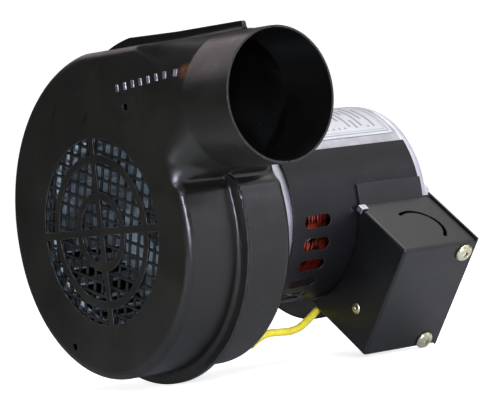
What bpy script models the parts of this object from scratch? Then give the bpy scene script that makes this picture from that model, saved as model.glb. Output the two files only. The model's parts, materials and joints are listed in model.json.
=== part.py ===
"""Combustion fan: a sheet-metal volute blower with a side outlet, a shell motor and a junction box.

Metres, +Z up.  The origin is the centre of the round inlet opening, on the outer face of the inlet side.
+X runs along the shaft towards the motor, and the outlet blows towards -Y.
Angles around X are measured in degrees from +Y towards +Z.
"""
import bmesh
import bpy
from math import asin, cos, degrees, hypot, pi, radians, sin, sqrt
from mathutils import Matrix, Vector

MM = 0.001
GAP = 0.3                    # between pieces that touch on the real object
SHEET = 1.2                  # steel sheet of the housing, wrap and box

# Housing
PARTING_X = 38.1             # plane where the two housing halves meet
REAR_X = 76.2                # outer face of the rear half
BEND = 5.0                   # outside bend between a face and the side wall
TOP_Z = 102.6                # straight top of the volute
TONGUE_DEG = -193.5          # where the spiral wall meets the underside of the outlet
TONGUE_R = 79.5
SPIRAL_R = 86.2
DUCT_START_Y = -50.0         # where the square duct starts to turn round
DUCT_LENGTH = 38.0
FILLET = 11.0                # hollow between the tongue and the underside of the outlet
FILLET_Y = -88.5
TUBE_R = 38.1                # 76.2 mm (3 in) outlet
TUBE_Z = 65.4
RIM_Y = -128.5
FLANGE = 7.2
FLANGE_TUBE = 5.2
FLANGE_END_Y = -104.0
SPIRAL_STEPS = 44
CORNER_STEPS = 5

# Inlet grille
INLET_R = 54.0
GRILLE_BANDS = ((18.6, 23.0), (40.0, 44.6))
SPOKE = 4.5
SCREEN_X = 1.5
SCREEN_R = 57.5
SCREEN_PITCH = 7.5
SCREEN_BAR = 1.7
SCREEN_TURN = 17.0
FACE_HOLES = ((-36.8, 69.1), (38.3, -65.5))
FACE_HOLE_R = 2.25

# Rotor
SHAFT_Z = 0.0                # shaft axis, through the centre of the inlet opening
SHAFT_R = 6.35
SHAFT_TIP_X = 36.0
SHAFT_END_X = 204.0
WHEEL_R = 64.0
WHEEL_EYE_R = 53.0
WHEEL_X = (8.0, 62.0)
BLADES = 32
BLADE_T = 0.8
RUN_GAP = 0.08               # shaft in its bushes

# Motor
SHIELD_X = 76.5
SHELL_X = (98.5, 197.5)
SHELL_R = 56.2
WRAP_X = (97.0, 197.5)
WRAP_R = 56.6
WRAP_DEG = (-214.5, -106.0)
CORE_X = (147.0, 182.0)
CORE_BORE_R = 33.0
MOTOR_END_X = 206.0
BOLT_CIRCLE_R = 49.5
MOUNT_CIRCLE_R = 46.5
SLOT_X = (105.3, 125.3)
SLOT_H = 7.4
SLOT_DEG = -171.0
SLOT_PITCH = 13.75
SLOTS = 5

# Junction box, in its own directions: along the shaft (x), out from the motor (u), up along its front (v)
BOX_DEG = -142.0
BOX_Z = -6.0                 # where its out direction leaves the plane y = 0
BOX_X = (145.5, 203.8)
BOX_START = 34.0             # its walls start inside the motor's round and are cut to it
BOX_OUT = 91.5
BOX_V = (-38.0, 39.0)
SADDLE_R = 58.1
SADDLE_DEG = (-189.5, -178.0, -108.0, -96.0)
BAND_R = 62.0                # band that runs on from the box under the motor
BAND_X = 150.0
BAND_DEG = (-103.5, -45.0)
KNOCKOUT = (174.5, 71.5)
KNOCKOUT_R = (14.0, 15.8)
SCREW_X = (195.0, 191.6)
SCREW_V = (31.5, -32.6)
LEAD_X = 190.0
CLIP_U = (46.0, 50.2)

ROUND = 36                   # sides of a large round
FINE = 36                    # sides of the shaft and what runs on it
SMALL = 16                   # sides of a small round

scene = bpy.context.scene
for old in list(scene.objects):
    bpy.data.objects.remove(old, do_unlink=True)


# ---------------------------------------------------------------- helpers

def material(name, colour, roughness, metallic):
    made = bpy.data.materials.get(name) or bpy.data.materials.new(name)
    made.use_nodes = True
    shader = made.node_tree.nodes["Principled BSDF"]
    shader.inputs["Base Color"].default_value = (*colour, 1.0)
    shader.inputs["Roughness"].default_value = roughness
    shader.inputs["Metallic"].default_value = metallic
    return made


FINISHES = {
    "black": ((0.02, 0.02, 0.022), 0.4, 0.0),
    "zinc": ((0.62, 0.62, 0.66), 0.4, 0.9),
    "yellow_zinc": ((0.72, 0.66, 0.45), 0.35, 0.9),
    "steel": ((0.5, 0.5, 0.52), 0.3, 1.0),
    "alloy": ((0.66, 0.66, 0.7), 0.45, 0.8),
    "bronze": ((0.5, 0.33, 0.15), 0.4, 1.0),
    "lamination": ((0.09, 0.05, 0.045), 0.5, 0.4),
    "red_winding": ((0.45, 0.05, 0.02), 0.3, 0.2),
    "label": ((0.8, 0.8, 0.84), 0.5, 0.0),
    "rubber": ((0.02, 0.02, 0.02), 0.7, 0.0),
    "yellow": ((0.9, 0.65, 0.03), 0.4, 0.0),
    "white": ((0.8, 0.8, 0.78), 0.4, 0.0),
    "black_lead": ((0.02, 0.02, 0.02), 0.4, 0.0),
    "copper": ((0.7, 0.35, 0.2), 0.3, 1.0),
}


def finish_mesh(name, bm, finish, parent=None):
    bmesh.ops.recalc_face_normals(bm, faces=bm.faces)
    mesh = bpy.data.meshes.new(name)
    bm.to_mesh(mesh)
    bm.free()
    mesh.transform(Matrix.Scale(MM, 4))
    mesh.shade_smooth()
    mesh.set_sharp_from_angle(angle=radians(35))
    made = bpy.data.objects.new(name, mesh)
    scene.collection.objects.link(made)
    if finish:
        made.data.materials.append(material(name + "_" + finish, *FINISHES[finish]))
    if parent:
        made.parent = parent
        made.matrix_parent_inverse = parent.matrix_world.inverted()
    return made


def cutter(made):
    made.hide_render = True
    made.display_type = "WIRE"
    return made


def combine(made, other, operation):
    step = made.modifiers.new(operation.title() + "_" + other.name, "BOOLEAN")
    step.operation = operation
    step.solver = "EXACT"
    step.object = cutter(other)


def loft(name, rings, finish, parent=None):
    """Closed solid through rings of equally many points, with flat caps."""
    bm = bmesh.new()
    rows = [[bm.verts.new(point) for point in ring] for ring in rings]
    count = len(rows[0])
    for low, high in zip(rows, rows[1:]):
        for i in range(count):
            j = (i + 1) % count
            bm.faces.new((low[i], low[j], high[j], high[i]))
    bm.faces.new(rows[0])
    bm.faces.new(rows[-1])
    return finish_mesh(name, bm, finish, parent)


def revolve(name, profile, finish, parent=None, z=SHAFT_Z, sides=ROUND):
    """Turns a closed (x, r) profile about the shaft line."""
    bm = bmesh.new()
    columns = []
    poles = {i: bm.verts.new((x, 0.0, z)) for i, (x, r) in enumerate(profile) if r == 0.0}
    for step in range(sides):
        turn = 2 * pi * step / sides
        column = []
        for i, (x, r) in enumerate(profile):
            column.append(poles.get(i) or bm.verts.new((x, r * cos(turn), z + r * sin(turn))))
        columns.append(column)
    for step in range(sides):
        here = columns[step]
        there = columns[(step + 1) % sides]
        for i in range(len(profile)):
            j = (i + 1) % len(profile)
            corners = []
            for corner in (here[i], here[j], there[j], there[i]):
                if corner not in corners:
                    corners.append(corner)
            if len(corners) > 2:
                bm.faces.new(corners)
    return finish_mesh(name, bm, finish, parent)


def turned(name, start, axis, profile, finish, parent=None, sides=SMALL):
    """Turns an open (distance, radius) profile about any line; both ends lie on the line."""
    bm = bmesh.new()
    line = Vector(axis).normalized()
    side = line.orthogonal().normalized()
    other = line.cross(side)
    base = Vector(start)
    rows = []
    for along, radius in profile:
        row = []
        for step in range(sides):
            turn = 2 * pi * step / sides
            row.append(bm.verts.new(base + line * along + (side * cos(turn) + other * sin(turn)) * radius))
        rows.append(row)
    for low, high in zip(rows, rows[1:]):
        for i in range(sides):
            j = (i + 1) % sides
            bm.faces.new((low[i], low[j], high[j], high[i]))
    bm.faces.new(rows[0])
    bm.faces.new(rows[-1])
    return finish_mesh(name, bm, finish, parent)


def rod(name, start, end, radius, sides=SMALL):
    direction = Vector(end) - Vector(start)
    return turned(name, start, direction, ((0.0, radius), (direction.length, radius)), None, sides=sides)


def ring_turned(name, start, axis, profile, finish, sides=SMALL):
    """Turns a closed (distance, radius) profile about any line."""
    bm = bmesh.new()
    line = Vector(axis).normalized()
    side = line.orthogonal().normalized()
    other = line.cross(side)
    base = Vector(start)
    columns = []
    for step in range(sides):
        turn = 2 * pi * step / sides
        out = side * cos(turn) + other * sin(turn)
        columns.append([bm.verts.new(base + line * along + out * radius) for along, radius in profile])
    for step in range(sides):
        here = columns[step]
        there = columns[(step + 1) % sides]
        for i in range(len(profile)):
            j = (i + 1) % len(profile)
            bm.faces.new((here[i], here[j], there[j], there[i]))
    return finish_mesh(name, bm, finish)


def block(name, low, high, frame=None, finish=None):
    """Box between two corners, in world axes or in a frame of (origin, three directions)."""
    origin, directions = frame or (Vector((0, 0, 0)), tuple(Matrix.Identity(3)))
    corners = []
    for third in (low[2], high[2]):
        ring = []
        for first, second in ((low[0], low[1]), (high[0], low[1]), (high[0], high[1]), (low[0], high[1])):
            ring.append(origin + directions[0] * first + directions[1] * second + directions[2] * third)
        corners.append(ring)
    return loft(name, corners, finish)


def sheet(name, radii, angles, lengths, keep, finish, z=SHAFT_Z):
    """Rolled sheet: a grid of cells around the shaft line; keep(i, j) says which cells are metal."""
    bm = bmesh.new()
    points = {}

    def point(i, j, layer):
        key = (i, j, layer)
        if key not in points:
            turn = radians(angles[i])
            points[key] = bm.verts.new((lengths[j], radii[layer] * cos(turn), z + radii[layer] * sin(turn)))
        return points[key]

    rows = len(angles) - 1
    columns = len(lengths) - 1
    metal = {(i, j) for i in range(rows) for j in range(columns) if keep(i, j)}
    for i, j in metal:
        square = ((i, j), (i + 1, j), (i + 1, j + 1), (i, j + 1))
        neighbours = ((i, j - 1), (i + 1, j), (i, j + 1), (i - 1, j))
        bm.faces.new([point(*corner, 1) for corner in square])
        bm.faces.new([point(*corner, 0) for corner in reversed(square)])
        for edge, beyond in enumerate(neighbours):
            if beyond not in metal:
                first, second = square[edge], square[(edge + 1) % 4]
                bm.faces.new((point(*first, 0), point(*second, 0), point(*second, 1), point(*first, 1)))
    return finish_mesh(name, bm, finish)


def breaks(low, high, step, extra=()):
    """Values from low to high about a step apart, with the extra ones among them."""
    marks = sorted({low, high, *extra})
    values = [marks[0]]
    for start, end in zip(marks, marks[1:]):
        parts = max(1, round((end - start) / step))
        values += [start + (end - start) * (k + 1) / parts for k in range(parts)]
    return values


def around(radius, angle, x, z=SHAFT_Z):
    return Vector((x, radius * cos(radians(angle)), z + radius * sin(radians(angle))))


# ---------------------------------------------------------------- housing shape

def spiral_radius(angle):
    """Side wall of the volute around the inlet centre, from the tongue to the top."""
    if angle < -70.0:
        return TONGUE_R + (SPIRAL_R - TONGUE_R) * sin(radians(90.0 * (angle + 180.0) / 110.0))
    if angle < -10.0:
        return SPIRAL_R
    return SPIRAL_R + (TOP_Z - SPIRAL_R) * ((angle + 10.0) / 100.0) ** 1.5


def volute_outline(grow=0.0):
    """Side wall seen along the shaft as (y, z) points, grown outwards by grow."""
    points = []
    for step in range(SPIRAL_STEPS + 1):
        angle = TONGUE_DEG + (90.0 - TONGUE_DEG) * step / SPIRAL_STEPS
        radius = spiral_radius(angle) + grow
        points.append((radius * cos(radians(angle)), radius * sin(radians(angle))))
    points.append((DUCT_START_Y, TOP_Z + grow))
    return points


def volute_body(name, grow, low_x, high_x, bend):
    """Spiral body with a rounded bend along both faces."""
    rings = []
    for x_side, direction in ((low_x, 1.0), (high_x, -1.0)):
        part = []
        for turn in (0.0, 30.0, 60.0, 90.0):
            x = x_side + direction * bend * (1.0 - cos(radians(turn)))
            inset = bend * (1.0 - sin(radians(turn)))
            part.append([(x, y, z) for y, z in volute_outline(grow - inset)])
        rings += part if direction > 0 else list(reversed(part))
    return loft(name, rings, None)


def duct_section(y, grow):
    """Rounded rectangle that grows into the round outlet, as (x, y, z) points."""
    share = min(1.0, max(0.0, (DUCT_START_Y - 2.0 - y) / DUCT_LENGTH))
    full = share >= 1.0
    low_x = 0.0
    high_x = REAR_X + (2 * TUBE_R - REAR_X) * share
    high_z = TOP_Z + (TUBE_Z + TUBE_R - TOP_Z) * share
    low_z = TUBE_Z - TUBE_R
    if y > FILLET_Y:
        low_z -= FILLET * min(1.0, (y - FILLET_Y) / FILLET) ** 2
    half_x = (high_x - low_x) / 2 + grow
    half_z = (high_z - low_z) / 2 + grow
    corner = min(half_x, half_z) * (0.9995 if full else (BEND + (TUBE_R - BEND) * share ** 1.15) / TUBE_R)
    points = []
    for sign_x, sign_z, first in ((1, 1, 0.0), (-1, 1, 90.0), (-1, -1, 180.0), (1, -1, 270.0)):
        for step in range(CORNER_STEPS + 1):
            turn = radians(first + 90.0 * step / CORNER_STEPS)
            x = (low_x + high_x) / 2 + sign_x * (half_x - corner) + corner * cos(turn)
            z = (low_z + high_z) / 2 + sign_z * (half_z - corner) + corner * sin(turn)
            points.append((x, y, z))
    return points


def duct(name, grow, end_y):
    stations = (-25.0, -50.0, -57.0, -64.0, -70.5, -77.0, -80.5, -84.5, -90.0, end_y)
    return loft(name, [duct_section(y, grow) for y in stations], None)


def flange_plate(name, low_x, high_x):
    """Flat rim where the halves meet: the wall outline grown, and run along the outlet tube."""
    outline = volute_outline(FLANGE)[:-1]
    top = TUBE_Z + TUBE_R + FLANGE_TUBE
    under = TUBE_Z - TUBE_R - FLANGE_TUBE
    corner = 4.0
    outline += [(-45.0, top), (FLANGE_END_Y + corner, top)]
    for t in (45, 90):
        turn = radians(t)
        outline.append((FLANGE_END_Y + corner * (1 - sin(turn)), top - corner * (1 - cos(turn))))
    outline += [(FLANGE_END_Y, TUBE_Z), (FLANGE_END_Y + 4.0, TUBE_Z - 30.0), (FLANGE_END_Y + 6.0, under)]
    tongue_y, tongue_z = volute_outline(FLANGE)[0]
    outline += [(tongue_y - 7.0, under)]
    outline += [(tongue_y - 2.0, under - 2.0)]
    return loft(name, [[(x, y, z) for y, z in outline] for x in (low_x, high_x)], None)


def housing_half(name, side, low_x, high_x):
    half = volute_body(name, 0.0, 0.0, REAR_X, BEND)
    half.data.materials.append(material("housing_black", *FINISHES["black"]))
    combine(half, duct("cut_duct_out_" + side, 0.0, RIM_Y), "UNION")
    flange_x = (high_x - SHEET, high_x) if side == "front" else (low_x, low_x + SHEET)
    combine(half, flange_plate("cut_flange_" + side, *flange_x), "UNION")
    inner = volute_body("cut_volute_in_" + side, -SHEET, SHEET, REAR_X - SHEET, BEND - SHEET)
    combine(half, inner, "DIFFERENCE")
    combine(half, duct("cut_duct_in_" + side, -SHEET, RIM_Y - 4.0), "DIFFERENCE")
    combine(half, block("cut_half_" + side, (low_x, -150, -120), (high_x, 130, 130)), "INTERSECT")
    return half


def grille_windows(name):
    """The open parts of the inlet, between the ring bands and the cross of spokes."""
    bm = bmesh.new()
    (inner_low, inner_high), (outer_low, outer_high) = GRILLE_BANDS
    windows = ((SPOKE * 0.75, inner_low), (inner_high, outer_low), (outer_high, INLET_R))
    for low_r, high_r in windows:
        steps = max(3, round(high_r / 6.0))
        for quarter in range(4):
            outline = []
            for radius, order in ((high_r, 1), (low_r, -1)):
                side = degrees(asin(min(0.999, SPOKE / 2 / radius)))
                if radius == SPOKE * 0.75:
                    outline.append((SPOKE / 2 * sqrt(2), 45.0))
                    continue
                turns = [side + (90.0 - 2 * side) * k / steps for k in range(steps + 1)]
                outline += [(radius, turn) for turn in (turns if order > 0 else reversed(turns))]
            polar = [(r, radians(a + 90 * quarter)) for r, a in outline]
            flat = [(r * cos(turn), r * sin(turn)) for r, turn in polar]
            low = [bm.verts.new((-2.0, y, z)) for y, z in flat]
            high = [bm.verts.new((SHEET + 2.0, y, z)) for y, z in flat]
            for i in range(len(flat)):
                j = (i + 1) % len(flat)
                bm.faces.new((low[i], low[j], high[j], high[i]))
            bm.faces.new(low)
            bm.faces.new(high)
    return finish_mesh(name, bm, None)


def make_housing():
    front = housing_half("housing_front", "front", -10.0, PARTING_X - GAP / 2)
    combine(front, grille_windows("cut_grille"), "DIFFERENCE")
    for number, (y, z) in enumerate(FACE_HOLES):
        combine(front, rod(f"cut_face_hole_{number}", (-2, y, z), (4, y, z), FACE_HOLE_R, 12), "DIFFERENCE")
    rear = housing_half("housing_rear", "rear", PARTING_X + GAP / 2, 90.0)
    shaft_hole = rod("cut_shaft_hole", (REAR_X - 5, 0, SHAFT_Z), (REAR_X + 5, 0, SHAFT_Z), 32.0, 32)
    combine(rear, shaft_hole, "DIFFERENCE")
    for number in range(4):
        centre = around(MOUNT_CIRCLE_R, 45 + 90 * number, REAR_X)
        through = Vector((5, 0, 0))
        hole = rod(f"cut_mount_hole_{number}", centre - through, centre + through, 2.6, 12)
        combine(rear, hole, "DIFFERENCE")
    y, z = GROUND_POINT
    combine(rear, rod("cut_ground_hole", (REAR_X - 5, y, z), (REAR_X + 5, y, z), 2.3, 12), "DIFFERENCE")


def make_inlet_screen():
    """Flat square mesh behind the grille, as one connected net."""
    cells = int(SCREEN_R // SCREEN_PITCH) + 1
    turn = radians(SCREEN_TURN)
    marks = []
    for k in range(-cells, cells + 1):
        marks += [k * SCREEN_PITCH - SCREEN_BAR / 2, k * SCREEN_PITCH + SCREEN_BAR / 2]
    count = len(marks) - 1

    def solid(i, j):
        far_a = max(abs(marks[i]), abs(marks[i + 1]))
        far_b = max(abs(marks[j]), abs(marks[j + 1]))
        return (i % 2 == 0 or j % 2 == 0) and hypot(far_a, far_b) < SCREEN_R

    bm = bmesh.new()
    points = {}

    def point(i, j, layer):
        if (i, j, layer) not in points:
            a, b = marks[i], marks[j]
            y, z = a * cos(turn) - b * sin(turn), a * sin(turn) + b * cos(turn)
            points[i, j, layer] = bm.verts.new((SCREEN_X + (SHEET if layer else 0.0), y, z))
        return points[i, j, layer]

    metal = {(i, j) for i in range(count) for j in range(count) if solid(i, j)}
    reached = {(cells * 2, cells * 2)}
    front = list(reached)
    while front:
        i, j = front.pop()
        for step in ((i + 1, j), (i - 1, j), (i, j + 1), (i, j - 1)):
            if step in metal and step not in reached:
                reached.add(step)
                front.append(step)
    for i, j in sorted(reached):
        square = ((i, j), (i + 1, j), (i + 1, j + 1), (i, j + 1))
        neighbours = ((i, j - 1), (i + 1, j), (i, j + 1), (i - 1, j))
        bm.faces.new([point(*corner, 1) for corner in square])
        bm.faces.new([point(*corner, 0) for corner in reversed(square)])
        for edge, beyond in enumerate(neighbours):
            if beyond not in reached:
                first, second = square[edge], square[(edge + 1) % 4]
                bm.faces.new((point(*first, 0), point(*second, 0), point(*second, 1), point(*first, 1)))
    return finish_mesh("inlet_screen", bm, "black")


# ---------------------------------------------------------------- rotor

def make_rotor():
    """Everything that turns hangs from an empty on the shaft axis."""
    spin = bpy.data.objects.new("rotor_axis", None)
    spin.location = (0.0, 0.0, SHAFT_Z * MM)
    scene.collection.objects.link(spin)
    bpy.context.view_layer.update()

    low, high = WHEEL_X
    ring = [(low - 1.0, WHEEL_EYE_R), (low - 1.0, WHEEL_R + 1.0), (low + 3.0, WHEEL_R + 1.0)]
    ring += [(low + 3.0, WHEEL_R + 0.3), (low - 0.3, WHEEL_R + 0.3), (low - 0.3, WHEEL_EYE_R)]
    revolve("impeller_front_ring", ring, "zinc", spin)

    strip = [(low, WHEEL_R - 1.0), (low, WHEEL_R), (low + 2.5, WHEEL_R), (low + 2.5, WHEEL_R - 1.0)]
    blades = revolve("impeller_blades", strip, "zinc", spin)
    shift = high - low - 2.5
    far_band = revolve("cut_far_band", [(x + shift, r) for x, r in strip], None)
    combine(blades, far_band, "UNION")
    combine(blades, make_blade_set("cut_blades", low + 0.4, high - 0.4), "UNION")

    plate_x = high + GAP
    plate = [(plate_x, 15.0), (plate_x, WHEEL_R + 1.0)]
    plate += [(plate_x + 1.0, WHEEL_R + 1.0), (plate_x + 1.0, 15.0)]
    revolve("impeller_backplate", plate, "zinc", spin)

    bore = SHAFT_R + 0.1
    hub = [(42.0, bore), (42.0, 13.0), (plate_x - 2.0, 14.6), (plate_x - 2.0, 20.0)]
    hub += [(plate_x - GAP, 20.0), (plate_x - GAP, 14.6), (plate_x + 3.0, 14.6), (plate_x + 3.0, bore)]
    hub_body = revolve("impeller_hub", hub, "steel", spin, sides=32)
    screw_x = 48.0
    hole = rod("cut_set_screw", (screw_x, 0, SHAFT_Z + SHAFT_R - 2), (screw_x, 0, SHAFT_Z + 20), 2.6, 12)
    combine(hub_body, hole, "DIFFERENCE")
    start = (screw_x, 0, SHAFT_Z + SHAFT_R + GAP)
    turned("hub_set_screw", start, (0, 0, 1), ((0, 1.2), (0.8, 2.2), (5.6, 2.2)), "steel", spin, 12)

    shaft = [(SHAFT_TIP_X, 0.0), (SHAFT_TIP_X, SHAFT_R - 0.8), (SHAFT_TIP_X + 0.8, SHAFT_R)]
    shaft += [(SHAFT_END_X - 0.8, SHAFT_R), (SHAFT_END_X, SHAFT_R - 0.8), (SHAFT_END_X, 0.0)]
    revolve("motor_shaft", shaft, "steel", spin, sides=FINE)

    core_low, core_high = CORE_X
    fit = SHAFT_R + GAP
    core_r = CORE_BORE_R - 0.6
    core = [(core_low, fit), (core_low, core_r), (core_high, core_r), (core_high, fit)]
    revolve("rotor_core", core, "lamination", spin, sides=32)
    end_rings = (("front", core_low - 7.0, core_low - GAP), ("rear", core_high + GAP, core_high + 7.0))
    for label, start, end in end_rings:
        first, last = (28.6, 30.5) if label == "front" else (30.5, 28.6)
        profile = [(start, 16.0), (start, first), (end, last), (end, 16.0)]
        revolve("rotor_end_ring_" + label, profile, "alloy", spin, sides=24)
    for label, start in (("front", 98.7), ("rear", 188.0)):
        washer = [(start, fit), (start, 10.0), (start + 1.2, 10.0), (start + 1.2, fit)]
        revolve("thrust_washer_" + label, washer, "bronze", spin, sides=24)


def make_blade_set(name, low_x, high_x):
    """Forward-curved blades, each a thin arc in section, not touching each other."""
    bm = bmesh.new()
    steps = 2
    for number in range(BLADES):
        base = 2 * pi * number / BLADES
        middle = []
        for k in range(steps + 1):
            share = k / steps
            radius = WHEEL_EYE_R + 0.6 + (WHEEL_R - 0.6 - WHEEL_EYE_R - 0.6) * share
            lead = radians(9.0) * share ** 1.8
            middle.append((radius, base + lead))
        outline = [(r, a + BLADE_T / 2 / r) for r, a in middle]
        outline += [(r, a - BLADE_T / 2 / r) for r, a in reversed(middle)]
        flat = [(r * cos(a), SHAFT_Z + r * sin(a)) for r, a in outline]
        low = [bm.verts.new((low_x, y, z)) for y, z in flat]
        high = [bm.verts.new((high_x, y, z)) for y, z in flat]
        for i in range(len(flat)):
            j = (i + 1) % len(flat)
            bm.faces.new((low[i], low[j], high[j], high[i]))
        bm.faces.new(low)
        bm.faces.new(high)
    return finish_mesh(name, bm, None)


# ---------------------------------------------------------------- motor

def make_shields():
    x = SHIELD_X
    bore = 10.35
    rim = SHELL_R - 0.8
    drive = [(x + 2, bore), (x + 2, 39.5), (x, 41.5), (x, rim - 1.7), (x + 1.5, rim), (x + 21.7, rim)]
    drive += [(x + 21.7, rim - 3), (x + 5.2, rim - 3), (x + 5.2, 16), (x + 20.7, 16), (x + 20.7, bore)]
    shield = revolve("drive_end_shield", drive, "alloy")
    for number in range(4):
        for circle, angle, label in ((BOLT_CIRCLE_R, 0, "bolt"), (MOUNT_CIRCLE_R, 45, "mount")):
            centre = around(circle, angle + 90 * number, x)
            start, end = centre - Vector((5, 0, 0)), centre + Vector((12, 0, 0))
            combine(shield, rod(f"cut_{label}_front_{number}", start, end, 2.3, 12), "DIFFERENCE")

    back = MOTOR_END_X
    seat = SHELL_X[1] + GAP
    rear = [(back + 1.5, 0.0), (back + 1.5, 15), (back, 18), (back, rim - 5), (back - 1.4, rim - 0.6)]
    rear += [(back - 5.0, SHELL_R), (seat, SHELL_R), (seat, rim - 2.4), (back - 4.4, rim - 3)]
    rear += [(back - 3.0, rim - 8), (back - 3.0, 16), (190.0, 16), (190.0, bore)]
    rear += [(back - 1.0, bore), (back - 1.0, 0.0)]
    shield = revolve("rear_end_shield", rear, "alloy")
    for number in range(4):
        centre = around(BOLT_CIRCLE_R, 90 * number, back)
        start, end = centre - Vector((8, 0, 0)), centre + Vector((5, 0, 0))
        combine(shield, rod(f"cut_bolt_rear_{number}", start, end, 2.3, 12), "DIFFERENCE")

    inner = SHAFT_R + RUN_GAP
    for label, low, high in (("front", x + 2.5, x + 20.0), ("rear", 190.8, 203.0)):
        bush = [(low, inner), (low, bore - GAP), (high, bore - GAP), (high, inner)]
        revolve("bearing_bush_" + label, bush, "bronze", sides=FINE)


def make_bolts():
    for number in range(4):
        start = around(BOLT_CIRCLE_R, 90 * number, SHIELD_X + 2.5)
        length = MOTOR_END_X - SHIELD_X - 2.2
        bolt = ((0, 1.4), (0.7, 2.0), (length, 2.0), (length, 3.9), (length + 2.8, 3.9))
        turned(f"through_bolt_{number + 1}", start, (1, 0, 0), bolt, "zinc", sides=12)
        start = around(MOUNT_CIRCLE_R, 45 + 90 * number, SHIELD_X + 8.0)
        length = SHIELD_X + 8.0 - (REAR_X - SHEET) + GAP
        screw = ((0, 1.4), (0.7, 2.0), (length, 2.0), (length, 4.0))
        screw += ((length + 1.4, 3.8), (length + 2.4, 2.4))
        turned(f"mount_screw_{number + 1}", start, (-1, 0, 0), screw, "zinc", sides=12)


def make_shell_and_wrap():
    side_window = (-178.0, -109.0)
    low_window = (-103.0, -53.0)
    angles = breaks(-178.0, 182.0, 8.0, (*side_window, *low_window))
    lengths = [SHELL_X[0], 103.0, 104.5, 128.0, 147.0, SHELL_X[1]]

    def shell_metal(i, j):
        middle = (angles[i] + angles[i + 1]) / 2
        along = (lengths[j] + lengths[j + 1]) / 2
        in_side = side_window[0] < middle < side_window[1] and lengths[1] < along < lengths[3]
        in_low = low_window[0] < middle < low_window[1] and lengths[2] < along < lengths[4]
        return not (in_side or in_low)

    shell = rolled_tube("motor_shell", (SHELL_R - 1.4, SHELL_R), angles[:-1], lengths, shell_metal, "zinc")
    cut_lead_hole(shell, "shell")

    turns = breaks(*WRAP_DEG, 5.0)
    wrap = sheet("motor_wrap", (WRAP_R, WRAP_R + SHEET), turns, WRAP_X, lambda i, j: True, "black")
    for number in range(SLOTS):
        combine(wrap, slot_cutter(f"cut_slot_{number}", SLOT_DEG + SLOT_PITCH * number), "DIFFERENCE")
    cut_lead_hole(wrap, "wrap")


def rolled_tube(name, radii, angles, lengths, keep, finish):
    """Full tube of cells around the shaft line, closed on itself, with cells left out as windows."""
    bm = bmesh.new()
    rows = len(angles)
    wrapped = list(angles) + [angles[0] + 360.0]
    points = {}

    def point(i, j, layer):
        key = (i % rows, j, layer)
        if key not in points:
            turn = radians(wrapped[i % rows])
            radius = radii[layer]
            points[key] = bm.verts.new((lengths[j], radius * cos(turn), SHAFT_Z + radius * sin(turn)))
        return points[key]

    metal = {(i, j) for i in range(rows) for j in range(len(lengths) - 1) if keep(i, j)}
    for i, j in metal:
        square = ((i, j), (i + 1, j), (i + 1, j + 1), (i, j + 1))
        neighbours = ((i, j - 1), ((i + 1) % rows, j), (i, j + 1), ((i - 1) % rows, j))
        bm.faces.new([point(*corner, 1) for corner in square])
        bm.faces.new([point(*corner, 0) for corner in reversed(square)])
        for edge, beyond in enumerate(neighbours):
            if beyond not in metal:
                first, second = square[edge], square[(edge + 1) % 4]
                bm.faces.new((point(*first, 0), point(*second, 0), point(*second, 1), point(*first, 1)))
    return finish_mesh(name, bm, finish)


def slot_cutter(name, angle):
    """Rounded slot that runs along the shaft, cut square to the wrap at an angle."""
    out = Vector((0, cos(radians(angle)), sin(radians(angle))))
    across = Vector((0, -sin(radians(angle)), cos(radians(angle))))
    radius = SLOT_H / 2
    outline = []
    for centre_x, first in ((SLOT_X[1] - radius, -90.0), (SLOT_X[0] + radius, 90.0)):
        for step in range(5):
            turn = radians(first + 45.0 * step)
            outline.append((centre_x + radius * cos(turn), radius * sin(turn)))
    axis = Vector((0, 0, SHAFT_Z))
    rings = []
    for far in (WRAP_R - 6.0, WRAP_R + 9.0):
        rings.append([axis + Vector((x, 0, 0)) + across * side + out * far for x, side in outline])
    return loft(name, rings, None)


def box_axes():
    """The junction box's frame: along the shaft (x), out from the motor (u), up along its front (v)."""
    turn = radians(BOX_DEG)
    directions = (Vector((1, 0, 0)), Vector((0, cos(turn), sin(turn))), Vector((0, sin(turn), -cos(turn))))
    return Vector((0, 0, BOX_Z)), directions


def box_point(x, u, v):
    origin, (along, out, across) = box_axes()
    return origin + along * x + out * u + across * v


def cut_lead_hole(made, label):
    hole = rod(f"cut_lead_{label}", box_point(LEAD_X, 45, 0), box_point(LEAD_X, 72, 0), 6.6, 20)
    combine(made, hole, "DIFFERENCE")


def make_stator():
    low, high = CORE_X
    outer = SHELL_R - 1.4 - GAP
    core = [(low, CORE_BORE_R), (low, outer), (high, outer), (high, CORE_BORE_R)]
    stator = revolve("stator_core", core, "lamination")
    for number in range(4):
        start = around(BOLT_CIRCLE_R, 90 * number, low - 3)
        end = around(BOLT_CIRCLE_R, 90 * number, high + 3)
        combine(stator, rod(f"cut_bolt_core_{number}", start, end, 2.6, 12), "DIFFERENCE")
    front = [(low - GAP, 35.5), (low - GAP, 46.2), (low - 37, 46.5)]
    front += [(low - 43, 44), (low - 43, 38), (low - 38, 35.5)]
    revolve("winding_front", front, "red_winding", sides=32)
    rear = [(high + GAP, 34.5), (high + 3.5, 34.5), (high + 5.5, 37)]
    rear += [(high + 5.5, 43), (high + 3.5, 46.5), (high + GAP, 46.5)]
    revolve("winding_rear", rear, "red_winding", sides=24)


def make_label():
    radii = (SHELL_R + GAP, SHELL_R + GAP + 0.3)
    sheet("rating_label", radii, breaks(44.0, 138.0, 7.5), [116.0, 195.0], lambda i, j: True, "label")


# ---------------------------------------------------------------- junction box

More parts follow.
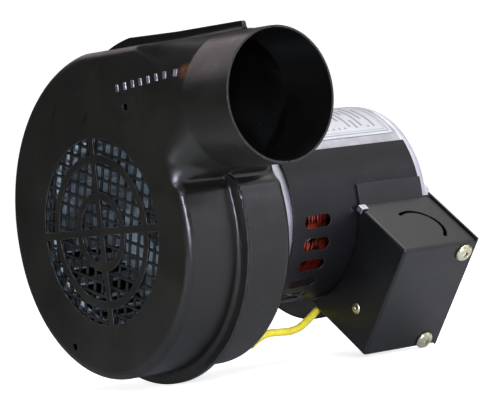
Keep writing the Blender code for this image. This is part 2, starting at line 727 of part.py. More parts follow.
def make_box():
    frame = box_axes()
    near_x, far_x = BOX_X
    low_v, high_v = BOX_V
    cover_far = (far_x - SHEET - GAP, BOX_OUT, high_v)
    cover = block("box_cover", (near_x, BOX_START, low_v), cover_far, frame, "black")
    inside = (near_x + SHEET, 20, low_v + SHEET), (far_x + 5, BOX_OUT - SHEET, high_v - SHEET)
    combine(cover, block("cut_cover_inside", *inside, frame), "DIFFERENCE")
    clear = SADDLE_R + SHEET + GAP
    combine(cover, rod("cut_cover_saddle", (100, 0, SHAFT_Z), (240, 0, SHAFT_Z), clear, 96), "DIFFERENCE")
    for number, (first, last) in enumerate(((-116.0, -37.0), (-29.0, 48.0))):
        combine(cover, knockout_slit(f"cut_knockout_{number}", first, last), "DIFFERENCE")
    for label, x, v in zip(("upper", "lower"), SCREW_X, SCREW_V):
        hole = rod(f"cut_cover_{label}", box_point(x, 85, v), box_point(x, 95, v), 2.5, 12)
        combine(cover, hole, "DIFFERENCE")
    start = box_point(near_x - 3, 73, -16)
    side_hole = rod("cut_cover_side", start, box_point(near_x + 1.3, 73, -16), 2.0, 12)
    combine(cover, side_hole, "DIFFERENCE")

    angles = breaks(SADDLE_DEG[0], SADDLE_DEG[3], 6.0, SADDLE_DEG[1:3])
    lengths = [near_x + SHEET + GAP, WRAP_X[1], far_x]

    def saddle_metal(i, j):
        middle = (angles[i] + angles[i + 1]) / 2
        return j == 0 or SADDLE_DEG[1] < middle < SADDLE_DEG[2]

    base = sheet("box_base", (SADDLE_R, SADDLE_R + SHEET), angles, lengths, saddle_metal, "black")
    middle_r = SADDLE_R + SHEET / 2
    wall = block("cut_base_wall", (far_x - SHEET, BOX_START, low_v), (far_x, BOX_OUT, high_v + 1.4), frame)
    combine(wall, rod("cut_wall_saddle", (100, 0, SHAFT_Z), (240, 0, SHAFT_Z), middle_r, 96), "DIFFERENCE")
    combine(base, wall, "UNION")
    add_band(base, middle_r)
    for label, x, v in zip(("upper", "lower"), SCREW_X, SCREW_V):
        low = (x - 6, 88.4, max(v - 5.3, low_v + SHEET + GAP))
        high = (far_x - SHEET / 2, 88.4 + SHEET, v + 5.3)
        combine(base, block("cut_tab_" + label, low, high, frame), "UNION")
        hole = rod(f"cut_tab_hole_{label}", box_point(x, 84, v), box_point(x, 90.1, v), 2.4, 12)
        combine(base, hole, "DIFFERENCE")
        start = box_point(x, 83.0, v)
        reach = BOX_OUT + GAP - 83.0
        screw = ((0, 1.4), (0.7, 2.0), (reach, 2.0), (reach, 5.7), (reach + 1.3, 5.5), (reach + 2.7, 3.6))
        turned("cover_screw_" + label, start, box_axes()[1][1], screw, "yellow_zinc", sides=20)
    tab_x = near_x + SHEET + GAP
    tab = block("cut_side_tab", (tab_x, 50, -22), (tab_x + SHEET, 79, -10), frame)
    combine(tab, rod("cut_tab_saddle", (100, 0, SHAFT_Z), (240, 0, SHAFT_Z), middle_r, 96), "DIFFERENCE")
    combine(base, tab, "UNION")
    start = box_point(tab_x - 1, 73, -16)
    hole = rod("cut_side_tab_hole", start, box_point(tab_x + 5, 73, -16), 1.9, 12)
    combine(base, hole, "DIFFERENCE")
    start = box_point(near_x + 7, 73, -16)
    side = ((0, 1.0), (0.5, 1.5), (7 + GAP, 1.5), (7 + GAP, 3.3), (8.2, 3.1), (9.0, 1.8))
    turned("side_screw", start, (-1, 0, 0), side, "yellow_zinc", sides=12)
    cut_lead_hole(base, "base")

    clip_x = near_x - GAP
    low_u, high_u = CLIP_U
    clip = ((clip_x - 1.2, low_u, high_v + GAP), (clip_x + 4.0, high_u, high_v + 1.4))
    rise_low = (clip_x - 1.2, low_u, high_v - 2.4)
    rise = block("cut_clip_rise", rise_low, (clip_x, high_u, high_v + 1.4), frame)
    made = block("box_clip", *clip, frame, "zinc")
    combine(made, rise, "UNION")


def add_band(base, clear_r):
    """Crescent that carries the end wall on under the motor, with a band along its outer edge."""
    far_x = BOX_X[1]
    low, high = BAND_DEG
    turns = breaks(low, high, 5.0)
    outline = [around(BAND_R + SHEET / 2, turn, 0.0, BOX_Z) for turn in breaks(low - 4.5, high, 5.0)]
    outline += [around(clear_r, turn, 0.0) for turn in reversed(breaks(low - 8.0, high + 1.0, 5.0))]
    rings = [[point + Vector((x, 0, 0)) for point in outline] for x in (far_x - SHEET, far_x)]
    combine(base, loft("cut_band_web", rings, None), "UNION")
    radii = (BAND_R, BAND_R + SHEET)
    band = sheet("cut_band", radii, turns, [BAND_X, far_x], lambda i, j: True, None, BOX_Z)
    combine(base, band, "UNION")


def knockout_slit(name, first, last):
    """Curved slit around the knockout in the box's upper wall."""
    steps = 8
    low_r, high_r = KNOCKOUT_R
    outline = []
    for radius, order in ((high_r, 1), (low_r, -1)):
        turns = [first + (last - first) * k / steps for k in range(steps + 1)]
        outline += [(radius, turn) for turn in (turns if order > 0 else reversed(turns))]
    rings = []
    for v in (BOX_V[1] - 4, BOX_V[1] + 4):
        ring = []
        for radius, turn in outline:
            x = KNOCKOUT[0] + radius * cos(radians(turn))
            u = KNOCKOUT[1] + radius * sin(radians(turn))
            ring.append(box_point(x, u, v))
        rings.append(ring)
    return loft(name, rings, None)


# ---------------------------------------------------------------- leads

GROUND_POINT = (-24.0, -70.0)


def lead(name, points, radius, finish):
    """Round wire through the points."""
    curve = bpy.data.curves.new(name, "CURVE")
    curve.dimensions = "3D"
    curve.bevel_depth = radius * MM
    curve.bevel_resolution = 2
    curve.resolution_u = 5
    curve.render_resolution_u = 0
    curve.use_fill_caps = True
    line = curve.splines.new("BEZIER")
    line.bezier_points.add(len(points) - 1)
    for knot, point in zip(line.bezier_points, points):
        knot.co = Vector(point) * MM
        knot.handle_left_type = "AUTO"
        knot.handle_right_type = "AUTO"
    made = bpy.data.objects.new(name, curve)
    scene.collection.objects.link(made)
    curve.materials.append(material(name + "_" + finish, *FINISHES[finish]))
    return made


def make_leads():
    out = box_axes()[1][1]
    start = box_point(LEAD_X, 48.6, 0)
    grommet = [(0, 4.2), (0, 6.2), (7.4, 6.2), (7.4, 8.6), (9.2, 8.6), (9.2, 4.2)]
    ring_turned("lead_grommet", start, out, grommet, "rubber", 20)
    for name, side, finish in (("lead_black", -1.0, "black_lead"), ("lead_white", 1.0, "white")):
        path = [box_point(LEAD_X, 48.0, side * 1.9), box_point(LEAD_X, 60, side * 1.9)]
        path += [box_point(LEAD_X - 2, 74, side * 3), box_point(LEAD_X - 12, 80, side * 10)]
        path += [box_point(LEAD_X - 26, 78, side * 16)]
        lead(name, path, 1.4, finish)
    y, z = GROUND_POINT
    path = [(168.0, 2.0, -60.3), (160.0, -1.8, -61.2), (153.0, -5.2, -62.6), (148.0, -7.5, -64.1)]
    path += [(141.0, -11.7, -65.9), (132.0, -15.5, -69.0), (124.0, -18.0, -71.5), (115.0, -20.1, -72.6)]
    path += [(106.0, -21.7, -72.0), (96.0, -22.6, -71.6), (88.0, -23.8, -73.2), (80.4, -24.5, -76.6)]
    lead("ground_lead", path, 2.3, "yellow")
    terminal = [(0, 2.4), (0, 4.6), (0.8, 4.6), (0.8, 2.4)]
    ring_turned("ground_terminal", (REAR_X + GAP, y, z), (1, 0, 0), terminal, "copper")
    screw = ((0, 1.4), (0.7, 2.0), (8.4, 2.0), (8.4, 4.2), (9.6, 4.0), (10.4, 2.6))
    turned("ground_screw", (REAR_X + 1.4 - 8.4, y, z), (1, 0, 0), screw, "zinc", sides=12)


make_housing()
make_inlet_screen()
make_rotor()
make_shields()
make_bolts()
make_shell_and_wrap()
make_stator()
make_label()
make_box()
make_leads()
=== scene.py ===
"""Looks of a combustion fan: pressed black volute, welded inlet screen, shell motor and junction box.

Lengths are millimetres in the part's own frame. The origin is the centre of the round inlet opening, +X runs
along the shaft to the motor, +Z is up and the outlet blows towards -Y. Angles around X run from +Y to +Z.
"""
import json
from math import asin, cos, degrees, pi, radians, sin, sqrt

import bmesh
import bpy
import numpy as np
from mathutils import Matrix, Vector


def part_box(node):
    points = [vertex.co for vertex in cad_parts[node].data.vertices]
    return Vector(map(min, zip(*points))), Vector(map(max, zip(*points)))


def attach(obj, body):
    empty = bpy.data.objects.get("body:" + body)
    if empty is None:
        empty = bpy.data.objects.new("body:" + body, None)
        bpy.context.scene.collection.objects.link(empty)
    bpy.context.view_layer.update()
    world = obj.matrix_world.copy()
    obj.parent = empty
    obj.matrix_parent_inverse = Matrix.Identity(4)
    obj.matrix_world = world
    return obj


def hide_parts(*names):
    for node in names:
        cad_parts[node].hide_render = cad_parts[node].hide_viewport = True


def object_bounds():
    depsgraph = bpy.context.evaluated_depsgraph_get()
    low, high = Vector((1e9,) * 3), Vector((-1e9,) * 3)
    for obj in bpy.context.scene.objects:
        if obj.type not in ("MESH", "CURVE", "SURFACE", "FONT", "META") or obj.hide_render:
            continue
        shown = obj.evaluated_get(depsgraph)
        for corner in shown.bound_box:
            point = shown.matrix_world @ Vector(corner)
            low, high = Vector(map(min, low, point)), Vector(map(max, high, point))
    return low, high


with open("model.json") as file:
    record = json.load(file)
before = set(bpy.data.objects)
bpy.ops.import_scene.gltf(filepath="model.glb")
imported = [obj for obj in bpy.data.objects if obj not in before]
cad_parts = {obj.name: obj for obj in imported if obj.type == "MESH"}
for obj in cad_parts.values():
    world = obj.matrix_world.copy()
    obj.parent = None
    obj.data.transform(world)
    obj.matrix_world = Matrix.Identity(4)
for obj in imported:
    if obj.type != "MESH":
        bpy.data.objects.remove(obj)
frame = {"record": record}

scene = bpy.context.scene
MM = 0.001
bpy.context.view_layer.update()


def corners(node):
    """Lowest and highest corner of a CAD node, in millimetres."""
    low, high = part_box(node)
    return low / MM, high / MM


def ends(node):
    """Where a CAD node starts and ends along the shaft, in millimetres."""
    low, high = corners(node)
    return low.x, high.x


# ---------------------------------------------------------------- sizes from the frame

FRONT_LOW, FRONT_HIGH = corners("housing_front")
REAR_LOW, REAR_HIGH = corners("housing_rear")
SHAFT_LOW, SHAFT_HIGH = corners("motor_shaft")
SHELL_LOW, SHELL_HIGH = corners("motor_shell")
WHEEL_LOW, WHEEL_HIGH = corners("impeller_blades")
BODY_OF = {node: body for body, nodes in frame["record"]["behaviour"]["bodies"].items() for node in nodes}

SHAFT_Z = (SHAFT_LOW.z + SHAFT_HIGH.z) / 2
SHAFT_R = (SHAFT_HIGH.z - SHAFT_LOW.z) / 2
SHELL_R = (SHELL_HIGH.y - SHELL_LOW.y) / 2
RIM_Y = FRONT_LOW.y
SEAM_X = (FRONT_HIGH.x + REAR_LOW.x) / 2      # plane where the housing halves meet
TUBE_R = SEAM_X                               # the outlet is tangent to the inlet face
TUBE_Z = 65.4
SHEET = 1.2
FIT = 0.3                                     # gap between pieces that slide over one another

# Housing outline
REAR_X = REAR_HIGH.x
BEND = 5.0
TOP_Z = 102.6
TONGUE_DEG = -193.5
TONGUE_R = 79.5
SPIRAL_R = 86.2
DUCT_Y = -52.0               # where the square duct starts to turn round
DUCT_LENGTH = 38.0
TONGUE_Z = 5.0               # above this the rims taper off towards the outlet
FLANGE = 7.2
FLANGE_TUBE = 5.2
FLANGE_END_Y = -104.0
FLANGE_T = 2.7               # both rims and the gap between them
RIM_FILLET = 3.0
SKIN_STEP = 1.25             # grid of the pressed shapes
MOTOR_OPENING_R = 32.0
MARKS = 8
MARK_FIRST = (-31.5, 80.2)
MARK_LAST = (-83.0, 84.0)

# Inlet
INLET_R = 54.0
BANDS = ((18.6, 23.0), (40.0, 44.6))
SPOKE = 4.5
MESH_PITCH = 7.5
MESH_TURN = 17.0
MESH_R = 57.0
WIRE_R = 0.95
FACE_HOLES = ((-36.8, 69.1), (38.3, -65.5))
FACE_HOLE_R = 2.25
GROUND_HOLE = (-24.0, -70.0)

# Wheel
WHEEL_R = (WHEEL_HIGH.y - WHEEL_LOW.y) / 2
EYE_R = 53.0
BLADES = 32
BLADE_LEAN = 9.0             # degrees between a blade's inner and outer edge
BLADE_HALF = 0.45            # half of a blade's thickness, midway between its edges
WHEEL_BAND = 2.5

# Motor
SHELL_T = 1.4
SHELL_WINDOWS = {"side": ((-178.0, -109.0), (103.0, 128.0)), "low": ((-103.0, -53.0), (104.5, 147.0))}
BOLT_R = 49.5
MOUNT_R = 46.5
WRAP_R = SHELL_R + 0.4
WRAP_DEG = (-214.5, -106.0)
SLOT_X = (105.3, 125.3)
SLOT_H = 7.4
SLOT_DEG = tuple(-171.0 + 13.75 * k for k in range(5))
CORE_X = (147.0, 182.0)
CORE_BORE_R = 33.0
AIR_GAP = 0.6                # between rotor and stator
BEARING_GAP = 0.08
ROTOR_BARS = 28
STATOR_SLOTS = 24
TAPPED_R = 2.3
CLEARANCE_R = 2.6
END_CAP = 1.5                # how far the cap over the shaft's end stands proud
BEARING_BOSS_R = 16.0
BEARING_SEAT_R = 10.35
STRAND_R = 0.92
STRAND_PITCH = 1.75
CORD_R = 0.55
CORD_LOOPS = 20
LABEL_X = ends("rating_label")
LABEL_DEG = (44.0, 138.0)
LABEL_LIFT = 0.12
LABEL_T = 0.3

# Junction box, in its own directions: along the shaft (x), out from the motor (u), up along its front (v)
BOX_DEG = -142.0
BOX_Z = -6.0
BOX_X = (145.5, 203.8)
BOX_OUT = 91.5
BOX_V = (-38.0, 39.0)
BOX_BEND = 2.0
SADDLE_R = SHELL_R + 1.9
SADDLE_DEG = (-189.5, -178.0, -108.0, -96.0)
TAB_OUT = 88.4               # the tabs that carry the screws lie this far out
SCREW_TIP = 83.0
CLIP_U = (46.0, 50.2)
BAND_R = 62.0
BAND_X = 150.0
BAND_DEG = (-103.5, -45.0)
KNOCKOUT = (174.5, 71.5)
KNOCKOUT_R = (13.5, 15.9)
COVER_SCREWS = {"upper": (195.0, 31.5), "lower": (191.6, -32.6)}
SIDE_SCREW = (73.0, -16.0)
LEAD_X = 190.0
LEAD_HOLE_R = 6.6
LEAD_R = 1.4
GROUND_LEAD_R = 2.3


# ---------------------------------------------------------------- mesh helpers

def new_object(name, verts, faces):
    mesh = bpy.data.meshes.new(name)
    mesh.from_pydata([tuple(map(float, v)) for v in verts], [], [tuple(map(int, f)) for f in faces])
    bm = bmesh.new()
    bm.from_mesh(mesh)
    bmesh.ops.recalc_face_normals(bm, faces=bm.faces)
    bm.to_mesh(mesh)
    bm.free()
    made = bpy.data.objects.new(name, mesh)
    scene.collection.objects.link(made)
    return made


def applied(made):
    """Turns the object's modifiers into its mesh."""
    bpy.context.view_layer.update()
    result = bpy.data.meshes.new_from_object(made.evaluated_get(bpy.context.evaluated_depsgraph_get()))
    made.modifiers.clear()
    old, made.data = made.data, result
    bpy.data.meshes.remove(old)
    return made


def combine(made, others, operation="DIFFERENCE"):
    for other in others if isinstance(others, list) else [others]:
        modifier = made.modifiers.new("combine", "BOOLEAN")
        modifier.operation = operation
        modifier.solver = "MANIFOLD"
        modifier.object = other
        applied(made)
        bpy.data.objects.remove(other, do_unlink=True)
    return made


def joined(name, parts):
    """One object of several closed shells that don't touch."""
    verts, faces = [], []
    for part in parts:
        start = len(verts)
        verts += [v.co for v in part.data.vertices]
        faces += [[start + i for i in face.vertices] for face in part.data.polygons]
    made = new_object(name, verts, faces)
    for part in parts:
        bpy.data.objects.remove(part, do_unlink=True)
    return made


def show(made, finish, nodes=(), body=None, sharp=32.0):
    """Finishes a piece: metres, smooth shading with sharp creases, its finish, and the body it rides on."""
    made.data.transform(Matrix.Scale(MM, 4))
    made.data.shade_smooth()
    made.data.set_sharp_from_angle(angle=radians(sharp))
    made.data.materials.clear()
    made.data.materials.append(finish)
    weighted = made.modifiers.new("weighted_normals", "WEIGHTED_NORMAL")
    weighted.keep_sharp = True
    if nodes:
        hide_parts(*nodes)
    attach(made, body or BODY_OF[nodes[0]])
    return made


def loft(name, rings):
    """Closed solid through rings of points."""
    count = len(rings[0])
    verts = [point for ring in rings for point in ring]
    faces = []
    for r in range(len(rings) - 1):
        for i in range(count):
            j = (i + 1) % count
            faces.append((r * count + i, r * count + j, (r + 1) * count + j, (r + 1) * count + i))
    last = (len(rings) - 1) * count
    faces += [tuple(range(count)), tuple(range(last, last + count))]
    return new_object(name, verts, faces)


def sweep(name, path, radius, sides=10, closed=False):
    """Round wire along a path; radius is one value or one for each point."""
    path = [Vector(p) for p in path]
    count = len(path)
    radii = radius if isinstance(radius, (list, tuple)) else [radius] * count
    rings, side = [], None
    for i, point in enumerate(path):
        ahead = path[(i + 1) % count] if closed or i < count - 1 else point
        behind = path[i - 1] if closed or i > 0 else point
        along = (ahead - behind).normalized()
        side = side or along.orthogonal()
        side = (side - along * side.dot(along)).normalized()
        other = along.cross(side)
        turns = [2 * pi * k / sides for k in range(sides)]
        rings.append([point + (side * cos(t) + other * sin(t)) * radii[i] for t in turns])
    if not closed:
        return loft(name, rings)
    verts = [point for ring in rings for point in ring]
    faces = []
    for r in range(count):
        s = (r + 1) % count
        for i in range(sides):
            j = (i + 1) % sides
            faces.append((r * sides + i, r * sides + j, s * sides + j, s * sides + i))
    return new_object(name, verts, faces)


def turned(name, start, axis, profile, sides=96):
    """Turned solid; its profile is (distance along, radius) points, and closes on the axis or on itself."""
    along = Vector(axis).normalized()
    side = along.orthogonal().normalized()
    other = along.cross(side)
    start = Vector(start)
    open_ends = profile[0][1] > 0 and profile[-1][1] > 0
    verts, rows = [], []
    for far, radius in profile:
        if radius <= 0:
            rows.append([len(verts)] * sides)
            verts.append(start + along * far)
            continue
        rows.append(list(range(len(verts), len(verts) + sides)))
        for k in range(sides):
            turn = 2 * pi * k / sides
            verts.append(start + along * far + (side * cos(turn) + other * sin(turn)) * radius)
    faces = []
    pairs = list(zip(rows, rows[1:])) + ([(rows[-1], rows[0])] if open_ends else [])
    for near, far in pairs:
        for k in range(sides):
            m = (k + 1) % sides
            face = dict.fromkeys((near[k], near[m], far[m], far[k]))
            if len(face) > 2:
                faces.append(tuple(face))
    return new_object(name, verts, faces)


def revolve(name, profile, sides=128):
    """Solid turned around the shaft; its profile is (x, radius) points."""
    return turned(name, (0, 0, SHAFT_Z), (1, 0, 0), profile, sides)


def soften(profile, radius=0.6, steps=3):
    """Closed profile with its corners rounded."""
    rounded = []
    count = len(profile)
    for i, point in enumerate(profile):
        here, back, ahead = Vector(point), Vector(profile[i - 1]), Vector(profile[(i + 1) % count])
        if here.y <= 0:
            rounded.append(tuple(here))
            continue
        reach = min(radius, (here - back).length * 0.45, (ahead - here).length * 0.45)
        first, last = here + (back - here).normalized() * reach, here + (ahead - here).normalized() * reach
        for k in range(steps + 1):
            t = k / steps
            rounded.append(tuple(first * (1 - t) ** 2 + here * 2 * t * (1 - t) + last * t * t))
    return rounded


def rod(start, end, radius, sides=32):
    span = Vector(end) - Vector(start)
    return turned("rod", start, span, ((0, 0), (0, radius), (span.length, radius), (span.length, 0)), sides)


def around(radius, angle, x):
    return Vector((x, radius * cos(radians(angle)), SHAFT_Z + radius * sin(radians(angle))))


WORLD = (Vector((0, 0, 0)), tuple(Matrix.Identity(3)))


def block(low, high, bend=0.0, axes=WORLD, steps=4):
    """Box between two corners with rounded edges, in axes given as (origin, three directions)."""
    origin, directions = axes
    centre = [(a + b) / 2 for a, b in zip(low, high)]
    half = [(b - a) / 2 - bend for a, b in zip(low, high)]
    if bend > 0:
        turns = [90.0 * k / steps for k in range(steps + 1)]
    else:
        turns = [0.0]
    signs = ((1, 1), (-1, 1), (-1, -1), (1, -1))
    rings = []
    for upper in (-1, 1):
        for lift in turns if upper > 0 else [turn - 90.0 for turn in turns] if bend > 0 else turns:
            level = centre[2] + upper * half[2] + bend * sin(radians(lift))
            shrink = bend * cos(radians(lift))
            ring = []
            for side in range(4):
                for turn in turns:
                    a = centre[0] + signs[side][0] * half[0] + shrink * cos(radians(turn + 90.0 * side))
                    b = centre[1] + signs[side][1] * half[1] + shrink * sin(radians(turn + 90.0 * side))
                    ring.append(origin + directions[0] * a + directions[1] * b + directions[2] * level)
            rings.append(ring)
    made = loft("block", rings)
    if bend > 0:
        bm = bmesh.new()
        bm.from_mesh(made.data)
        bmesh.ops.remove_doubles(bm, verts=bm.verts, dist=1e-4)
        bm.to_mesh(made.data)
        bm.free()
    return made


def bent_sheet(name, radii, angles, lengths, keep=lambda angle, x: True, closed=False):
    """Rolled sheet around the shaft: a grid of cells; keep says which are metal."""
    verts, index, faces = [], {}, []
    rows = len(angles) - 1
    columns = len(lengths) - 1

    def point(i, j, layer):
        i = i % rows if closed else i
        if (i, j, layer) not in index:
            index[i, j, layer] = len(verts)
            verts.append(around(radii[layer], angles[i], lengths[j]))
        return index[i, j, layer]

    metal = set()
    for i in range(rows):
        for j in range(columns):
            if keep((angles[i] + angles[i + 1]) / 2, (lengths[j] + lengths[j + 1]) / 2):
                metal.add((i, j))
    for i, j in sorted(metal):
        square = ((i, j), (i + 1, j), (i + 1, j + 1), (i, j + 1))
        neighbours = ((i, j - 1), (i + 1, j), (i, j + 1), (i - 1, j))
        faces.append([point(*spot, 1) for spot in square])
        faces.append([point(*spot, 0) for spot in reversed(square)])
        for edge, beyond in enumerate(neighbours):
            if closed:
                beyond = (beyond[0] % rows, beyond[1])
            if beyond not in metal:
                first, second = square[edge], square[(edge + 1) % 4]
                faces.append([point(*first, 0), point(*second, 0), point(*second, 1), point(*first, 1)])
    return new_object(name, verts, faces)


def breaks(marks, step):
    """Values through the marks, about a step apart."""
    values = [marks[0]]
    for start, end in zip(marks, marks[1:]):
        parts = max(1, round(abs(end - start) / step))
        values += [start + (end - start) * (k + 1) / parts for k in range(parts)]
    return values


# ---------------------------------------------------------------- pressed shapes from distance fields

def evened(points, spacing=1.0, window=9):
    """Closed outline at an even spacing, softened over a few steps."""
    loop = np.array(list(points) + [points[0]], float)
    run = np.concatenate(([0.0], np.cumsum(np.hypot(*np.diff(loop, axis=0).T))))
    marks = np.arange(0.0, run[-1], run[-1] / round(run[-1] / spacing))
    even = np.stack([np.interp(marks, run, loop[:, k]) for k in range(2)], 1)
    weights = np.hanning(window + 2)[1:-1]
    weights /= weights.sum()
    return sum(weight * np.roll(even, k - window // 2, 0) for k, weight in enumerate(weights))


def distance_map(outline, step=0.6, margin=14.0):
    """Signed distance to a closed outline in y and z, as a function that looks it up."""
    low = outline.min(0) - margin
    size = np.ceil((outline.max(0) + margin - low) / step).astype(int) + 1
    y, z = np.meshgrid(*(low[k] + step * np.arange(size[k]) for k in range(2)), indexing="ij")
    nearest = np.full(y.shape, 1e9)
    inside = np.zeros(y.shape, bool)
    for (y1, z1), (y2, z2) in zip(outline, np.roll(outline, -1, 0)):
        dy, dz = y2 - y1, z2 - z1
        share = np.clip(((y - y1) * dy + (z - z1) * dz) / (dy * dy + dz * dz + 1e-12), 0, 1)
        nearest = np.minimum(nearest, (y - y1 - share * dy) ** 2 + (z - z1 - share * dz) ** 2)
        crosses = (z1 > z) != (z2 > z)
        if abs(dz) > 1e-12:
            inside ^= crosses & (y < dy * (z - z1) / dz + y1)
    grid = np.sqrt(nearest) * np.where(inside, -1.0, 1.0)

    def look_up(y, z):
        a = np.clip((y - low[0]) / step, 0, size[0] - 1.001)
        b = np.clip((z - low[1]) / step, 0, size[1] - 1.001)
        i, j = a.astype(int), b.astype(int)
        a, b = a - i, b - j
        near = grid[i, j] * (1 - b) + grid[i, j + 1] * b
        far = grid[i + 1, j] * (1 - b) + grid[i + 1, j + 1] * b
        return near * (1 - a) + far * a

    return look_up


def skin(name, field, low, high, step=SKIN_STEP):
    """Closed mesh of the surface where the field is zero; the field is negative inside."""
    spans = [np.arange(a, b + step, step) for a, b in zip(low, high)]
    grid = field(*np.meshgrid(*spans, indexing="ij"))
    quads, owners, spots = [], [], []
    for axis in range(3):
        across, up = (axis + 1) % 3, (axis + 2) % 3
        near, far = np.moveaxis(grid, axis, 0)[:-1], np.moveaxis(grid, axis, 0)[1:]
        near, far = np.moveaxis(near, 0, axis), np.moveaxis(far, 0, axis)
        at = np.argwhere((near < 0) != (far < 0))
        a, b = near[tuple(at.T)], far[tuple(at.T)]
        spot = at.astype(float)
        spot[:, axis] += a / (a - b)
        ring = []
        for back_across, back_up in ((0, 0), (1, 0), (1, 1), (0, 1)):
            cell = at.copy()
            cell[:, across] -= back_across
            cell[:, up] -= back_up
            ring.append(np.ravel_multi_index(tuple(cell.T), grid.shape))
            owners.append(ring[-1])
            spots.append(spot)
        ring = np.stack(ring, 1)
        ring[a > 0] = ring[a > 0][:, ::-1]
        quads.append(ring)
    cells, numbers = np.unique(np.concatenate(owners), return_inverse=True)
    spots = np.concatenate(spots)
    counts = np.bincount(numbers)
    points = np.stack([np.bincount(numbers, spots[:, k]) / counts for k in range(3)], 1)
    points = points * step + np.array([span[0] for span in spans])
    nudge = 0.05
    for _ in range(3):
        here = field(*points.T)
        slope = np.stack([(field(*(points + nudge * np.eye(3)[k]).T) - here) / nudge for k in range(3)], 1)
        length = np.maximum((slope ** 2).sum(1), 0.2)
        points -= np.clip(here / length, -0.6, 0.6)[:, None] * slope
    faces = np.searchsorted(cells, np.concatenate(quads))
    made = new_object(name, points, faces)
    bm = bmesh.new()
    bm.from_mesh(made.data)
    bmesh.ops.dissolve_limit(bm, angle_limit=radians(0.25), verts=bm.verts, edges=bm.edges)
    bm.to_mesh(made.data)
    bm.free()
    return made


def smooth_step(value, low, high):
    share = np.clip((value - low) / (high - low), 0, 1)
    return share * share * (3 - 2 * share)


def rounded_corner(first, second, radius):
    """Distance to the rounded corner between two surfaces that meet at a right angle."""
    a, b = first + radius, second + radius
    return np.hypot(np.maximum(a, 0), np.maximum(b, 0)) + np.minimum(np.maximum(a, b), 0) - radius


def filleted(first, second, reach):
    """Union of two shapes with a fillet where they meet."""
    near = np.maximum(reach - np.abs(first - second), 0) / reach
    return np.minimum(first, second) - near * near * reach / 4


# ---------------------------------------------------------------- finishes

def fill(tree, node, inputs):
    """Gives a node's inputs their values, and wires the ones that come from other nodes."""
    for key, value in inputs.items():
        if isinstance(value, bpy.types.NodeSocket):
            tree.links.new(value, node.inputs[key])
        else:
            node.inputs[key].default_value = value


def add_node(tree, kind, inputs=None, **settings):
    node = tree.nodes.new("ShaderNode" + kind)
    for key, value in settings.items():
        setattr(node, key, value)
    fill(tree, node, inputs or {})
    return node


class Finish:
    """A Principled material with helpers that add and wire its nodes."""

    def __init__(self, name, roughness, metallic=0.0):
        self.made = bpy.data.materials.new(name)
        self.made.use_nodes = True
        self.tree = self.made.node_tree
        self.shader = self.tree.nodes["Principled BSDF"]
        self.paint(Roughness=roughness, Metallic=metallic)
        self.place = self.add("TexCoord").outputs["Object"]

    def add(self, kind, inputs=None, **settings):
        return add_node(self.tree, kind, inputs, **settings)

    def noise(self, size_mm, detail=3.0, stretch=(1, 1, 1)):
        """Noise with features about size_mm across, from 0 to 1."""
        place = self.add("Mapping", {"Vector": self.place, "Scale": stretch}).outputs[0]
        inputs = {"Vector": place, "Scale": 1.0 / (size_mm * MM), "Detail": detail, "Roughness": 0.55}
        return self.add("TexNoise", inputs).outputs["Fac"]

    def ramp(self, value, low, high, start=0.0, end=1.0):
        inputs = {"Value": value, "From Min": low, "From Max": high, "To Min": start, "To Max": end}
        return self.add("MapRange", inputs).outputs[0]

    def paint(self, **inputs):
        """Sets the shader's inputs; a name with spaces is written with underscores."""
        fill(self.tree, self.shader, {key.replace("_", " "): value for key, value in inputs.items()})

    def math(self, operation, *values):
        return self.add("Math", dict(enumerate(values)), operation=operation).outputs[0]

    def times(self, first, second):
        return self.math("MULTIPLY", first, second)

    def mix(self, share, first, second):
        """Blend of two colours, each a socket or (red, green, blue)."""
        inputs = {0: share, 6: first, 7: second}
        for k in (6, 7):
            if not isinstance(inputs[k], bpy.types.NodeSocket):
                inputs[k] = (*inputs[k], 1.0)
        return self.add("Mix", inputs, data_type="RGBA").outputs[2]

    def spot(self, centre, size, turn=0.0):
        """1 at a place on the object, fading to 0; size is its half width on each axis, in millimetres."""
        centre, size = Vector(centre) * MM, Vector(size) * MM
        offset = self.add("VectorMath", {0: self.place, 1: centre}, operation="SUBTRACT").outputs[0]
        offset = self.add("Mapping", {"Vector": offset, "Rotation": (radians(turn), 0.0, 0.0)}).outputs[0]
        scaled = self.add("VectorMath", {0: offset, 1: size}, operation="DIVIDE").outputs[0]
        far = self.add("VectorMath", {0: scaled}, operation="LENGTH").outputs["Value"]
        return self.ramp(far, 1.0, 0.0)

    def bump(self, *layers, edge_mm=0.0):
        """Height layers as (value, depth in millimetres), over edges rounded for shading only."""
        normal = self.add("Bevel", {"Radius": edge_mm * MM}, samples=6).outputs[0] if edge_mm else None
        for height, depth in layers:
            inputs = {"Height": height, "Distance": depth * MM, "Strength": 1.0}
            if normal is not None:
                inputs["Normal"] = normal
            normal = self.add("Bump", inputs).outputs[0]
        self.paint(Normal=normal)

    def edges(self, edge_mm):
        """1 along sharp edges and 0 on open surface."""
        soft = self.add("Bevel", {"Radius": edge_mm * MM}, samples=6).outputs[0]
        flat = self.add("NewGeometry").outputs["Normal"]
        agree = self.add("VectorMath", {0: soft, 1: flat}, operation="DOT_PRODUCT").outputs["Value"]
        return self.ramp(agree, 0.98, 0.8)


